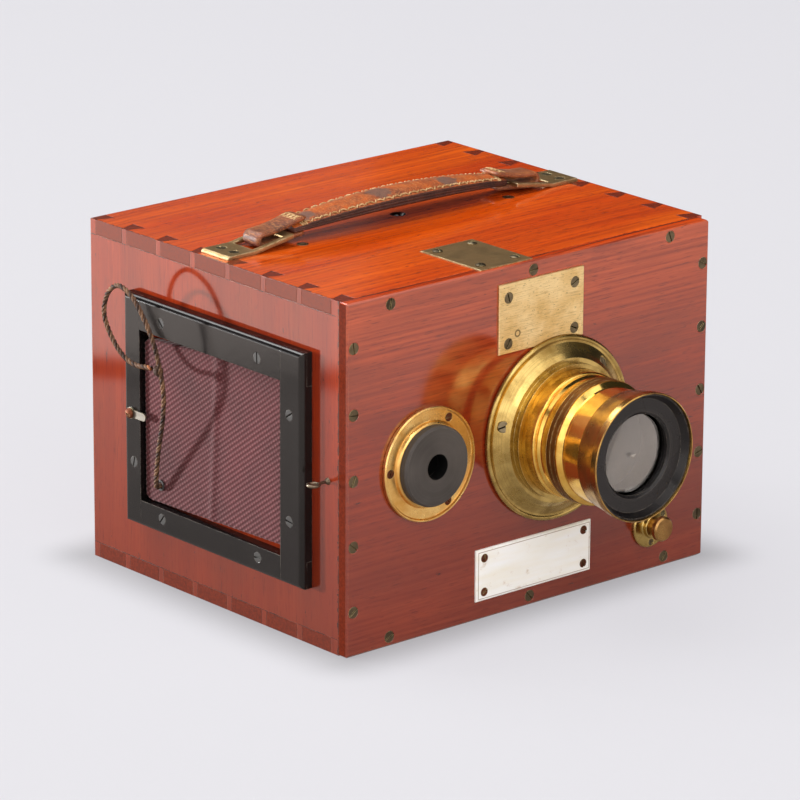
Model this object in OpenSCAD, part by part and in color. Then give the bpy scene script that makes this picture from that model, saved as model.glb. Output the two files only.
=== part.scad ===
// Hand camera in polished mahogany: a dovetailed box with a brass lens, a small finder,
// a push-button release, a cloth-covered flap over a hand port and a leather carrying handle.
// Millimetres. Origin at the centre of the bottom face; +X right, -Y the lens side, +Z up.

/* [Case] */
// Width of the case over the side boards
case_w = 203; // [190:1:230]
// Depth of the case from the front panel to the back
case_d = 169; // [165:1:200]
// Height of the case
case_h = 152; // [150:1:170]
// Thickness of the side boards
side_t = 8; // [7:0.5:9]
// Thickness of the top and bottom boards
board_t = 6.5; // [6:0.5:8]
// Thickness of the front panel
panel_t = 5; // [4.5:0.5:8]
// Rounding of the front panel's upper right corner
panel_round_tr = 4; // [1:0.5:5]
// Rounding of the front panel's lower right corner
panel_round_br = 3; // [1:0.5:5]
// Rounding of the front panel's left corners
panel_round_left = 1; // [0.5:0.5:3]
// Bevel along the front panel's front edges
panel_arris = 0.8; // [0.3:0.1:1.5]

/* [Dovetails] */
// Spacing of the dovetail pins
pin_pitch = 23.1; // [18:0.1:30]
// Width of a pin at the outer face
pin_outer = 3; // [2:0.5:5]
// Width of a pin at the inner line
pin_inner = 8.6; // [6:0.1:12]
// Width of the front half pin at the outer face
half_pin_front = 5; // [4:0.5:7]
// Width of the rear half pin at the outer face
half_pin_rear = 3.5; // [3:0.5:6]
// Shift of the row of pins towards the back
pin_shift = 1; // [0:0.5:2]

/* [Front screws] */
// Head diameter of the panel screws
screw_head = 5; // [4:0.1:6]
// Depth of a sunk screw head
screw_head_t = 1.5; // [1:0.1:2]
// Shank diameter of the panel screws
screw_shank = 2.6; // [2:0.1:3]
// Length of a panel screw's shank
screw_len = 9; // [7:0.5:9]
// Width of a screw slot
slot_w = 0.7; // [0.5:0.1:1]
// Spacing of the screws up the panel's sides
side_screw_pitch = 28.3; // [24:0.1:32]
// Spacing of the screws along the panel's top and bottom
row_screw_pitch = 78.3; // [60:0.1:84]
// Distance of the side screws from the case's outer faces
side_screw_in = 3.6; // [3:0.1:4.5]
// Distance of the row screws from the top and bottom faces
row_screw_in = 4.2; // [3.5:0.1:5]

/* [Lens] */
// Lens axis, to the right of the middle
lens_x = 13.5; // [8:0.5:20]
// Height of the lens axis
lens_z = 76.5; // [72:0.5:82]
// Radius of the lens flange
flange_r = 40.3; // [38:0.1:43]
// Thickness of the flange's rolled rim
flange_rim_t = 2.5; // [2:0.1:3]
// Radius of the flange's screw circle
flange_screw_r = 34; // [33:0.5:36]
// Outer radius of the collar that rises from the flange
collar_r = 29.4; // [29:0.1:31]
// Front of the collar, ahead of the panel
collar_front = 9.2; // [8:0.1:10]
// Radius of the barrel where it passes through the collar
barrel_r = 27.4; // [26:0.1:28]
// Radius of the barrel in the panel
barrel_rear_r = 25.5; // [24:0.1:25.5]
// Length of the barrel's parallel part ahead of the panel
barrel_len = 23.6; // [20:0.1:26]
// Inner radius of the barrel
barrel_bore = 21; // [20:0.1:22]
// Radius of the iris ring
iris_ring_r = 27; // [26:0.1:28]
// Width of the iris ring
iris_ring_w = 5; // [4:0.1:7]
// Radius of the neck that the iris ring turns on
iris_neck_r = 23.6; // [23:0.1:24.2]
// Radius of the front tube
tube_r = 25; // [24:0.1:25.5]
// Length of the front tube, from the iris ring to its front end
tube_len = 20; // [18:0.1:21]
// Distance of the hood's front rim ahead of the panel
hood_front = 54.6; // [52:0.1:58]
// Radius of the hood at its front rim
hood_r = 27.7; // [27:0.1:30]
// Length of the hood
hood_len = 13.2; // [11:0.1:14]
// Wall of the hood at its rim
hood_wall = 0.6; // [0.5:0.1:1]
// Depth of the glass behind the hood's rim
glass_depth = 5.2; // [4:0.1:7]
// Radius of the front glass that shows
glass_r = 17.5; // [16:0.1:18]
// Thickness of the front glass at its middle
glass_t = 4.5; // [3:0.1:6]
// Radius of the diaphragm's aperture
aperture_r = 9; // [4:0.5:14]

/* [Finder] */
// Finder axis, to the left of the middle
finder_x = -58; // [-62:0.5:-54]
// Height of the finder axis
finder_z = 75.5; // [72:0.5:80]
// Radius of the finder's flange
finder_r = 24.7; // [23.5:0.1:26]
// Thickness of the finder's flange at its bead
finder_t = 2.2; // [1.8:0.1:3]
// Radius of the finder's screw circle
finder_screw_r = 21; // [20.4:0.1:21.5]
// Radius of the ebonite disc
disc_r = 17.3; // [16:0.1:18]
// Front of the ebonite disc, ahead of the panel
disc_front = 6.5; // [5:0.1:8]
// Radius of the hole in the ebonite disc
disc_hole_r = 5.4; // [4:0.1:7]

/* [Release] */
// Release axis, to the right of the middle
release_x = 69.2; // [67:0.1:72]
// Height of the release axis
release_z = 20.9; // [19:0.1:23]
// Radius of the release's escutcheon
escutcheon_r = 10; // [9.5:0.1:11]
// Thickness of the escutcheon
escutcheon_t = 1.6; // [1.2:0.1:2]
// Radius of the escutcheon's screw circle
escutcheon_screw_r = 7.7; // [7.6:0.1:8]
// Height of the boss on the escutcheon
boss_h = 2.2; // [1.5:0.1:2.5]
// Radius of the boss
boss_r = 5.4; // [5:0.1:5.8]
// Radius of the button's stem
stem_r = 3.4; // [3:0.1:3.6]
// Radius of the button's head
button_r = 5.4; // [5:0.1:6]
// Thickness of the button's head
button_t = 3; // [2.5:0.1:3.5]
// Travel of the button
button_travel = 2.8; // [2:0.1:3]

/* [Front plates] */
// Middle of the blank brass plate, to the right of the middle
plate_x = 4; // [1:0.5:7]
// Height of the middle of the blank brass plate
plate_z = 129.6; // [128:0.1:131]
// Width of the blank brass plate
plate_w = 47.6; // [44:0.1:52]
// Height of the blank brass plate
plate_h = 30.3; // [26:0.1:30.3]
// Thickness of the blank brass plate
plate_t = 1; // [0.8:0.1:1.2]
// Middle of the ivory plate, to the right of the middle
label_x = 1.4; // [-2:0.1:4]
// Height of the middle of the ivory plate
label_z = 19.9; // [18:0.1:21]
// Width of the ivory plate
label_w = 65.2; // [60:0.1:70]
// Height of the ivory plate
label_h = 22.8; // [20:0.1:24]
// Thickness of the ivory plate
label_t = 1.2; // [1:0.1:1.5]
// Distance of the plates' screws from their ends
plate_screw_in = 5.2; // [4:0.1:7]

/* [Top plate and handle] */
// Left edge of the top plate
top_plate_x = -28.4; // [-34:0.1:-24]
// Width of the top plate
top_plate_w = 29.2; // [26:0.1:32]
// Length of the top plate from front to back
top_plate_l = 38; // [32:0.1:42]
// Distance of the top plate from the front panel's face
top_plate_in = 1.5; // [1:0.1:3]
// Height of the top plate above the top board
top_plate_t = 0.4; // [0.3:0.1:0.8]
// Handle axis, behind the middle
handle_y = 4; // [2:0.5:6]
// Distance from the middle to a bracket's outer end
bracket_out = 98.5; // [96:0.5:99.5]
// Length of a bracket's flat foot
foot_l = 14.5; // [13:0.5:16]
// Length of a bracket's rising arms
arm_l = 21; // [19:0.5:22]
// Height that the arms rise over their length
arm_rise = 3.4; // [3:0.1:4]
// Width of a bracket
bracket_w = 17.5; // [17:0.1:19]
// Thickness of a bracket
bracket_t = 1.75; // [1.5:0.05:2]
// Width of the window between the arms
window_w = 13; // [12.8:0.1:13]
// Width of the cross bar that the strap's loop goes round
bar_w = 4; // [3:0.5:5]
// Half length of the leather strap
strap_half = 60; // [58:1:62]
// Width of the strap at its middle
strap_w = 18.5; // [16:0.5:20]
// Width of the strap at its ends
strap_end_w = 11; // [10:0.5:12]
// Thickness of the strap at its middle
strap_t = 6.3; // [5:0.1:7]
// Rise of the strap's underside above the top board at its middle
strap_rise = 6.8; // [5:0.1:9]
// Width of the leather loops
loop_w = 12; // [10:0.5:12]
// Length of a leather loop
loop_l = 22; // [20:0.5:23]
// Thickness of the loops' leather
loop_t = 2; // [1.6:0.1:2.2]

/* [Side frame] */
// Distance of the side frame from the case's front face
frame_in = 22; // [19:0.5:24]
// Length of the side frame from front to back
frame_l = 118; // [116:1:124]
// Lower edge of the side frame
frame_low = 25; // [22:1:28]
// Height of the side frame
frame_hgt = 102; // [98:1:106]
// Thickness of the side frame
frame_t = 5.6; // [5:0.1:7]
// Rounding of the side frame's outer edges
frame_round = 2.2; // [1:0.1:2.5]
// Width of the front stile
stile_front = 13.8; // [12:0.1:16]
// Width of the rear stile
stile_rear = 11; // [10:0.1:13]
// Width of the top rail
rail_top = 14.4; // [12:0.1:16]
// Width of the bottom rail
rail_low = 11.7; // [10:0.1:14]
// Distance of the rail screws from the frame's front end
rail_screw_front = 28.7; // [24:0.1:32]
// Distance of the rail screws from the frame's rear end
rail_screw_rear = 25.5; // [22:0.1:32]
// Distance of the stile screws from the frame's top and bottom
stile_screw_in = 28; // [24:0.1:32]
// Head diameter of the frame screws
frame_screw_head = 4.6; // [4:0.1:5.5]

/* [Flap] */
// Thickness of the flap's board
flap_t = 2.6; // [2:0.1:3]
// Thickness of the flap's cloth
cloth_t = 1.2; // [0.8:0.1:1.4]
// Ledge of the port that the flap lies on
port_ledge = 6; // [4:0.5:8]
// Rounding of the port's corners
port_round = 6; // [3:0.5:10]
// Height of the cord's hole above the frame's lower edge
cord_hole_up = 21; // [18:0.5:24]
// Distance of the cord's hole from the opening's rear edge
cord_hole_in = 11.5; // [9:0.5:14]
// Diameter of the cord
cord_d = 2.3; // [2:0.1:2.6]
// Length of the turn-button from its pivot to its tip
tab_l = 10.3; // [9.5:0.1:12]
// Width of the turn-button
tab_w = 3.4; // [3:0.1:4]
// Height of the turn-button above the middle of the frame
tab_up = -1.4; // [-4:0.1:4]
// Distance of the turn-button's pivot from the frame's rear edge
tab_in = 5.4; // [5:0.1:6]
// Distance of the screw-eye from the case's front face
eye_in = 12; // [12:0.5:14]
// Outer diameter of the screw-eye's ring
eye_d = 6; // [5:0.5:8]
// Wire thickness of the screw-eye
eye_wire = 1.3; // [1:0.1:1.6]
// Reach of the screw-eye from the side board
eye_reach = 10.6; // [9:0.1:12]

/* [Back door] */
// Gap round the inset back door
door_gap = 0.5; // [0.3:0.1:1]
// Thickness of the back door
door_t = 8; // [6:0.5:10]
// Length of a door hinge
hinge_l = 30; // [24:1:36]
// Radius of a hinge's knuckles
knuckle_r = 2.2; // [1.8:0.1:2.6]
// Thickness of the hinge leaves
leaf_t = 1.2; // [1:0.1:1.5]
// Distance of the hinges from the door's top and bottom
hinge_in = 16; // [12:1:24]
// Outer radius of the door's drop ring
pull_r = 9; // [8:0.5:11]
// Wire thickness of the drop ring
pull_wire = 2; // [1.6:0.1:2.4]

/* [Inside] */
// Thickness of the partition between the lens and the plates
partition_t = 5; // [4:0.5:7]
// Middle of the partition, ahead of the case's middle
partition_y = -4.4; // [-8:0.1:-2]
// Width and height of the picture opening in the partition
gate = 76; // [70:1:80]
// Width and height of a glass plate's metal sheath
sheath = 84; // [80:1:88]
// Thickness of a sheath
sheath_t = 1.6; // [1.2:0.1:2]
// Number of sheaths in the trough
sheath_n = 3; // [1:1:6]
// Spacing of the sheaths in the trough
sheath_pitch = 4; // [3:0.5:6]
// Depth of the trough's grooves
groove = 3; // [2:0.5:4]
// Wall of the trough
trough_t = 6; // [5:0.5:8]
// Thickness of the shutter's plate
shutter_t = 1.2; // [1:0.1:1.5]
// Radius of the shutter's opening
shutter_hole = 16; // [14:0.5:16.5]
// Overlap of the blade round the shutter's opening
blade_lap = 2; // [1:0.5:3]
// Thickness of the blade
blade_t = 0.6; // [0.4:0.1:0.8]
// Distance of the blade's pivot below the lens axis
blade_arm = 38; // [36:0.5:42]
// Length of the blade's tail below its pivot
blade_tail = 12; // [9:0.5:13]
// Radius of the blade's pivot
pivot_r = 2; // [1.5:0.1:2.5]
// Distance of the catch's pivot to the right of the release
catch_arm = 15.8; // [14:0.1:18]
// Width of the catch
catch_w = 5; // [4:0.5:6]
// Thickness of the catch
catch_t = 1.2; // [1:0.1:1.4]
// Radius of the tripod bush
bush_r = 8; // [7:0.5:10]
// Radius of the tripod screw's hole
bush_hole = 4.76; // [3.2:0.01:4.8]

/* [Fits] */
// Radial clearance of running pins
run_fit = 0.05; // [0.03:0.01:0.08]
// Clearance of soft pieces
soft_gap = 0.3; // [0.2:0.05:0.5]
// Clearance round a seated screw
screw_fit = 0.05; // [0.02:0.01:0.1]

/* [Hidden] */
$fn = 64;
half_w = case_w/2;
front_y = -case_d/2;
back_y = case_d/2;
board_y = front_y + panel_t;
board_l = back_y - board_y;
board_mid = (board_y + back_y)/2;
inner_x = half_w - side_t;
inner_top = case_h - board_t;
cut = 1;

// Turns a piece drawn upright so that it faces forwards at a place on the front panel
module at_front(x, z, out = 0) {
    translate([x, front_y - out, z]) rotate([90, 0, 0]) children();
}

// Turns a piece drawn upright so that it faces left at a place on the left side board
module at_left(y, z, out = 0) {
    translate([-half_w - out, y, z]) rotate([0, -90, 0]) children();
}

// Turns a piece drawn upright so that it faces backwards at a place on the rear face
module at_back(x, z, out = 0) {
    translate([x, back_y + out, z]) rotate([-90, 0, 0]) children();
}

// Rectangle with its own radius at each corner: lower left, lower right, upper right, upper left
module cornered(w, h, radii) {
    signs = [[-1, -1], [1, -1], [1, 1], [-1, 1]];
    difference() {
        square([w, h], center = true);
        for (i = [0:3])
            translate([signs[i][0]*(w/2 - radii[i]), signs[i][1]*(h/2 - radii[i])])
                difference() {
                    translate([signs[i][0]*radii[i]/2, signs[i][1]*radii[i]/2])
                        square(radii[i] + 0.001, center = true);
                    circle(radii[i]);
                }
    }
}

// Section of a bar with rounded upper corners
module round_top(w, t, r) {
    translate([-w/2, 0]) square([w, t - r]);
    translate([r - w/2, 0]) square([w - 2*r, t]);
    for (s = [-1, 1]) translate([s*(w/2 - r), t - r]) circle(r);
}

// Section of a plate with bevelled upper edges
module bevel_section(w, t, b) {
    polygon([[-w/2, 0], [w/2, 0], [w/2, t - b], [w/2 - b, t], [-w/2 + b, t], [-w/2, t - b]]);
}

// Flat plate with its upper edges bevelled all round
module bevelled_plate(w, l, t, b) {
    intersection() {
        rotate([90, 0, 0]) linear_extrude(l, center = true) bevel_section(w, t, b);
        rotate([90, 0, 90]) linear_extrude(w, center = true) bevel_section(l, t, b);
    }
}

// Slotted wood screw, its head's top at z = 0; a dome above zero makes a round head
module slotted_screw(head, head_t, shank, len, turn, dome = 0) {
    difference() {
        union() {
            translate([0, 0, -head_t]) cylinder(d = head, h = head_t, $fn = 32);
            if (dome > 0) intersection() {
                cylinder(d = head, h = dome, $fn = 32);
                translate([0, 0, dome - (head*head/4 + dome*dome)/(2*dome)])
                    sphere((head*head/4 + dome*dome)/(2*dome), $fn = 48);
            }
            translate([0, 0, -head_t - len]) cylinder(d = shank, h = len + 0.1, $fn = 24);
        }
        rotate(turn) translate([0, 0, dome]) cube([head + cut, slot_w, 1.2], center = true);
    }
}

// Space that a slotted screw fills
module screw_space(head, head_t, shank, len) {
    translate([0, 0, -head_t]) cylinder(d = head + 2*screw_fit, h = head_t + cut, $fn = 32);
    translate([0, 0, -head_t - len - screw_fit])
        cylinder(d = shank + 2*screw_fit, h = len + 2*screw_fit, $fn = 24);
}

// Plain hole for a shank, from z = 0 down
module pilot(shank, len) {
    translate([0, 0, -len - screw_fit])
        cylinder(d = shank + 2*screw_fit, h = len + screw_fit + cut, $fn = 24);
}

// Dovetailed case

pins_n = floor((board_l - half_pin_front - half_pin_rear - pin_inner)/pin_pitch);
pin_ys = [for (i = [0:pins_n - 1]) board_mid + pin_shift + (i - (pins_n - 1)/2)*pin_pitch];
pin_splay = (pin_inner - pin_outer)/2;

// Plan of the pins of the left side board: narrow at the outer face, wide at the inner line
module pins_plan() {
    for (y = pin_ys)
        polygon([[-half_w, y - pin_outer/2], [-half_w, y + pin_outer/2],
            [-inner_x, y + pin_inner/2], [-inner_x, y - pin_inner/2]]);
    polygon([[-half_w, board_y], [-half_w, board_y + half_pin_front],
        [-inner_x, board_y + half_pin_front + pin_splay], [-inner_x, board_y]]);
    polygon([[-half_w, back_y - half_pin_rear], [-half_w, back_y], [-inner_x, back_y],
        [-inner_x, back_y - half_pin_rear - pin_splay]]);
}

// Pins of both side boards
module both_pins() {
    pins_plan();
    mirror([1, 0]) pins_plan();
}

side_screw_zs = [for (i = [-2:2]) case_h/2 + i*side_screw_pitch];
row_screw_xs = [for (i = [-1:1]) i*row_screw_pitch];
panel_screws_at = concat(
    [for (z = side_screw_zs, s = [-1, 1]) [s*(half_w - side_screw_in), z]],
    [for (x = row_screw_xs, z = [row_screw_in, case_h - row_screw_in]) [x, z]]);

// Spaces of the panel screws, through the panel and into the boards
module panel_screw_spaces() {
    for (p = panel_screws_at)
        at_front(p[0], p[1]) screw_space(screw_head, screw_head_t, screw_shank, screw_len);
}

handle_screw_y = 4.2;
handle_screw_in = 6.8;
bracket_screw_len = 5;
bracket_head = 4.4;
bracket_head_t = 1;
bracket_screws_at = [for (s = [-1, 1], t = [-1, 1])
    [s*(bracket_out - handle_screw_in), handle_y + t*handle_screw_y]];

module bracket_screw_spaces() {
    for (p = bracket_screws_at)
        translate([p[0], p[1], case_h + bracket_t])
            screw_space(bracket_head, bracket_head_t, 2.2, bracket_screw_len);
}

top_screw_in = [5, 5.5];
top_plate_mid = [top_plate_x + top_plate_w/2, front_y + top_plate_in + top_plate_l/2];
top_plate_screws_at = [for (s = [-1, 1], t = [-1, 1]) top_plate_mid
    + [s*(top_plate_w/2 - top_screw_in[0]), t*(top_plate_l/2 - top_screw_in[1])]];
pin_head = 4.4;
pin_shank = 2;
pin_len = 3.5;

module top_plate_pilots() {
    for (p = top_plate_screws_at) translate([p[0], p[1], case_h]) pilot(pin_shank, pin_len);
}

partition_screw_x = 58;

module partition_screw_spaces() {
    for (s = [-1, 1])
        translate([s*partition_screw_x, partition_y, case_h])
            screw_space(screw_head, screw_head_t, screw_shank, screw_len);
}

socket_at = [3.2, 5.4];
socket_r = 2.2;

module top_board() color("#b5431a") {
    difference() {
        translate([0, 0, inner_top]) linear_extrude(board_t) difference() {
            translate([-half_w, board_y]) square([case_w, board_l]);
            both_pins();
        }
        panel_screw_spaces();
        bracket_screw_spaces();
        top_plate_pilots();
        partition_screw_spaces();
        translate([socket_at[0], socket_at[1], case_h - 4]) cylinder(r = socket_r, h = 5, $fn = 32);
        translate([socket_at[0], socket_at[1], case_h - 1.2])
            cylinder(r1 = socket_r, r2 = socket_r + 1.3, h = 1.3, $fn = 32);
    }
}

bush_t = 4;

module bottom_board() color("#8a3220") {
    difference() {
        linear_extrude(board_t) difference() {
            translate([-half_w, board_y]) square([case_w, board_l]);
            both_pins();
        }
        panel_screw_spaces();
        translate([0, 0, -cut]) cylinder(r = bush_r + screw_fit, h = bush_t + cut);
    }
}

// One side board on the left, with the pins that stand up and down through the other boards
module side_board() {
    translate([-half_w, board_y, board_t]) cube([side_t, board_l, case_h - 2*board_t]);
    linear_extrude(case_h) pins_plan();
}

frame_front = front_y + frame_in;
frame_back = frame_front + frame_l;
frame_y = (frame_front + frame_back)/2;
frame_top = frame_low + frame_hgt;
open_front = frame_front + stile_front;
open_back = frame_back - stile_rear;
open_low = frame_low + rail_low;
open_top = frame_top - rail_top;
port_l = open_back - open_front - 2*port_ledge;
port_h = open_top - open_low - 2*port_ledge;
port_mid = [(open_front + open_back)/2, (open_low + open_top)/2];
frame_shank = 2.2;
frame_screw_len = 9;
rail_mid_top = frame_top - (rail_top + frame_round)/2;
rail_mid_low = frame_low + (rail_low + frame_round)/2;
stile_mid_front = frame_front + (stile_front + frame_round)/2;
stile_mid_rear = frame_back - (stile_rear + frame_round)/2;
frame_screws = concat(
    [for (z = [rail_mid_low, rail_mid_top],
        y = [frame_front + rail_screw_front, frame_back - rail_screw_rear]) [y, z]],
    [for (z = [frame_low + stile_screw_in, frame_top - stile_screw_in]) [stile_mid_front, z]],
    [[stile_mid_rear, frame_low + stile_screw_in]]);

module frame_screw_spaces() {
    for (p = frame_screws) at_left(p[0], p[1], frame_t)
        screw_space(frame_screw_head, screw_head_t, frame_shank, frame_screw_len);
}

tab_at = [frame_back - tab_in, (frame_low + frame_top)/2 + tab_up];
tab_t = 0.8;
tab_pin_r = 1.4;
tab_pin_len = 8;
eye_down = 2;
eye_at = [front_y + eye_in, case_h/2 - eye_down];
eye_screw_r = 1.1;
eye_screw_len = 6;

module left_side_board() color("#96402c") {
    difference() {
        side_board();
        panel_screw_spaces();
        at_left(port_mid[0], port_mid[1], -side_t - cut)
            linear_extrude(side_t + 2*cut) cornered(port_h, port_l, [for (i = [0:3]) port_round]);
        frame_screw_spaces();
        at_left(tab_at[0], tab_at[1]) pilot(2*tab_pin_r, tab_pin_len - frame_t);
        at_left(eye_at[0], eye_at[1]) pilot(2*eye_screw_r, eye_screw_len);
    }
}

module right_side_board() color("#8a3220") {
    difference() {
        mirror([1, 0, 0]) side_board();
        panel_screw_spaces();
        hinge_screw_spaces();
    }
}

// Front panel and its fittings

small_shank = 1.8;
small_head = 4.8;
small_head_t = 0.8;
fine_head = 2.8;
fine_head_t = 0.7;
fine_shank = 1.2;
fine_len = 4.5;
function ring_places(x, z, r, angles) = [for (a = angles) [x + r*cos(a), z + r*sin(a)]];
flange_screws_at = ring_places(lens_x, lens_z, flange_screw_r, [167, 47, 287]);
finder_screws_at = ring_places(finder_x, finder_z, finder_screw_r, [60, 180, 300]);
escutcheon_screws_at = ring_places(release_x, release_z, escutcheon_screw_r, [30, 150, 270]);
plate_screws_at = [for (s = [-1, 1], t = [-1, 1])
    [plate_x + s*(plate_w/2 - plate_screw_in), plate_z - 1 + t*(plate_h/2 - plate_screw_in)]];
label_screw_in = [4.4, 3.9];
label_screws_at = [for (s = [-1, 1], t = [-1, 1])
    [label_x + s*(label_w/2 - label_screw_in[0]), label_z + t*(label_h/2 - label_screw_in[1])]];
label_head = 3.8;
label_screw_len = 4;
finder_hole_r = 13;

module front_panel() color("#9c4632") {
    difference() {
        intersection() {
            at_front(0, case_h/2, -panel_t) linear_extrude(panel_t)
                cornered(case_w, case_h,
                    [panel_round_left, panel_round_br, panel_round_tr, panel_round_left]);
            at_front(0, case_h/2, -panel_t)
                bevelled_plate(case_w, case_h, panel_t, panel_arris);
        }
        panel_screw_spaces();
        at_front(lens_x, lens_z, -panel_t - cut) cylinder(r = barrel_rear_r + screw_fit, h = 9);
        at_front(finder_x, finder_z, -panel_t - cut) cylinder(r = finder_hole_r, h = 9);
        at_front(release_x, release_z, -panel_t - cut)
            cylinder(r = stem_r + run_fit, h = panel_t + 2*cut);
        for (p = concat(flange_screws_at, plate_screws_at))
            at_front(p[0], p[1]) pilot(small_shank, fitting_screw_len);
        for (p = concat(finder_screws_at, label_screws_at))
            at_front(p[0], p[1]) pilot(small_shank, label_screw_len);
        for (p = escutcheon_screws_at) at_front(p[0], p[1]) pilot(fine_shank, fine_len);
        top_plate_pilots();
    }
}

// Screws of the panel's edge, and the pair that holds the partition from above
module panel_screws() color("#6d6a4a") {
    for (i = [0:len(panel_screws_at) - 1])
        at_front(panel_screws_at[i][0], panel_screws_at[i][1])
            slotted_screw(screw_head, screw_head_t, screw_shank, screw_len, 35 + 53*i);
    for (s = [-1, 1]) translate([s*partition_screw_x, partition_y, case_h])
        slotted_screw(screw_head, screw_head_t, screw_shank, screw_len, 10*s);
}

// Lens: half sections are drawn with the radius along x and the distance ahead of the panel along y

module lens_revolve() {
    at_front(lens_x, lens_z) rotate_extrude($fn = 128) children();
}

collar_foot_r = 31.4;
flange_hole_r = barrel_r + screw_fit;

module lens_flange() color("#c9a24a") {
    difference() {
        lens_revolve() difference() {
            union() {
                square([flange_r - 1, flange_rim_t - 0.4]);
                translate([flange_r - flange_rim_t/2, flange_rim_t/2]) circle(flange_rim_t/2, $fn = 32);
                polygon([[0, 0], [flange_r - 2.4, 0], [flange_r - 2.4, 1.7],
                    [collar_foot_r + 2, 4.4], [collar_foot_r, 6.3], [0, 6.3]]);
                square([collar_r, collar_front]);
            }
            square([flange_hole_r, collar_front + cut]);
        }
        for (p = flange_screws_at) at_front(p[0], p[1], flange_face)
            screw_space(small_head, small_head_t, small_shank, fitting_screw_len);
    }
}

flange_face = 3.5;
fitting_screw_len = 6.2;

// Like screws that hold the lens flange and the blank plate
module fitting_screws() color("#8c7a3c") {
    for (i = [0:2]) at_front(flange_screws_at[i][0], flange_screws_at[i][1], flange_face)
        slotted_screw(small_head, small_head_t, small_shank, fitting_screw_len, 20 + 65*i);
    for (i = [0:3]) at_front(plate_screws_at[i][0], plate_screws_at[i][1], plate_t)
        slotted_screw(small_head, small_head_t, small_shank, fitting_screw_len, 60 + 48*i);
}

ring_gap = 0.05;
neck_len = iris_ring_w + 2*ring_gap;
barrel_bead = 15.5;

module lens_barrel() color("#d0a23c") {
    lens_revolve() difference() {
        union() {
            translate([0, -panel_t]) square([barrel_rear_r, panel_t + cut]);
            square([barrel_r, barrel_bead]);
            translate([barrel_r - 0.9, barrel_bead]) circle(0.9, $fn = 32);
            polygon([[0, barrel_bead], [barrel_r - 1.2, barrel_bead], [barrel_r - 0.8, 17.7],
                [barrel_r - 1.6, 19], [iris_ring_r, barrel_len], [0, barrel_len]]);
            square([iris_neck_r, barrel_len + neck_len]);
        }
        translate([0, -panel_t - cut]) square([barrel_bore, case_d]);
    }
}

module iris_ring() color("#8a6a3a") {
    lens_revolve() translate([iris_neck_r + run_fit, barrel_len + ring_gap]) difference() {
        square([iris_ring_r - iris_neck_r - run_fit, iris_ring_w]);
        translate([iris_ring_r - iris_neck_r - run_fit, iris_ring_w/2]) circle(0.35, $fn = 24);
    }
}

tube_start = barrel_len + neck_len;
tube_bore = 20.5;

module lens_tube() color("#c8912f") {
    lens_revolve() difference() {
        polygon([[0, tube_start], [iris_ring_r - 0.3, tube_start], [iris_ring_r - 0.3, tube_start + 0.9],
            [tube_r - 0.3, tube_start + 2.4], [tube_r - 0.3, tube_start + 3.6],
            [tube_r, tube_start + 4], [tube_r, tube_end - 0.4], [tube_r - 0.4, tube_end], [0, tube_end]]);
        translate([0, tube_start - cut]) square([tube_bore, case_d]);
    }
}

tube_end = tube_start + tube_len;
hood_back = hood_front - hood_len;
hood_seat = tube_r + screw_fit;
hood_mouth_r = hood_seat + 0.9;
hood_band = 3;

module lens_hood() color("#a8742f") {
    lens_revolve() polygon([[hood_seat, hood_back], [tube_r + 0.7, hood_back],
        [tube_r + 0.9, hood_back + 1], [hood_r - 0.25, hood_front - hood_band - 0.3],
        [hood_r, hood_front - hood_band], [hood_r, hood_front - 0.3], [hood_r - 0.25, hood_front],
        [hood_r - hood_wall, hood_front], [hood_mouth_r, tube_end], [hood_seat, tube_end]]);
}

cell_front = hood_front - glass_depth;
cell_seat = tube_bore - screw_fit;
cell_len = 9;
cell_lip = 0.8;
cell_rebate = 1;
glass_dome = 1.2;
glass_play = 0.4;
function hood_inner(y) = hood_mouth_r
    + (y - tube_end)*(hood_r - hood_wall - hood_mouth_r)/(hood_front - tube_end);

// Blackened cell: it screws into the tube, holds the front glass and lines the hood's mouth
module front_lens_cell() color("#1d1c1b") {
    lens_revolve() polygon([[glass_r - cell_lip, cell_front - cell_len],
        [cell_seat, cell_front - cell_len], [cell_seat, tube_end],
        [hood_inner(tube_end) - screw_fit, tube_end],
        [hood_inner(hood_front - 1) - screw_fit, hood_front - 1],
        [hood_inner(hood_front - 1) - 0.6, hood_front - 1], [tube_r - 0.6, tube_end + 1.9],
        [glass_r + 2.2, cell_front + 1], [glass_r + 1.2, cell_front + 1], [glass_r, cell_front + 0.2],
        [glass_r, cell_front - cell_rebate],
        [glass_r + cell_lip, cell_front - cell_rebate],
        [glass_r + cell_lip, cell_front - cell_rebate - glass_t],
        [glass_r - cell_lip, cell_front - cell_rebate - glass_t]]);
}

// A round lens glass: a rim with two shallow domes, its front at the given place
module glass_section(r, edge, dome, back) {
    ball = (r*r + dome*dome)/(2*dome);
    intersection() {
        translate([0, back]) square([r, edge + dome]);
        translate([0, back + edge + dome - ball]) circle(ball, $fn = 256);
    }
}

module front_glass() color("#8d9496") {
    lens_revolve() glass_section(glass_r + cell_lip - screw_fit, glass_t - glass_dome - glass_play,
        glass_dome, cell_front - cell_rebate - glass_t);
}

rear_glass_at = -panel_t + 1;
rear_glass_edge = 2;
rear_glass_dome = 1.5;

module rear_glass() color("#8d9496") {
    lens_revolve() glass_section(barrel_bore - screw_fit, rear_glass_edge, rear_glass_dome, rear_glass_at);
}

leaves_n = 8;
leaf_step = 0.25;
leaf_gap = 0.05;
leaves_at = barrel_len + 1.2;

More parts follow.
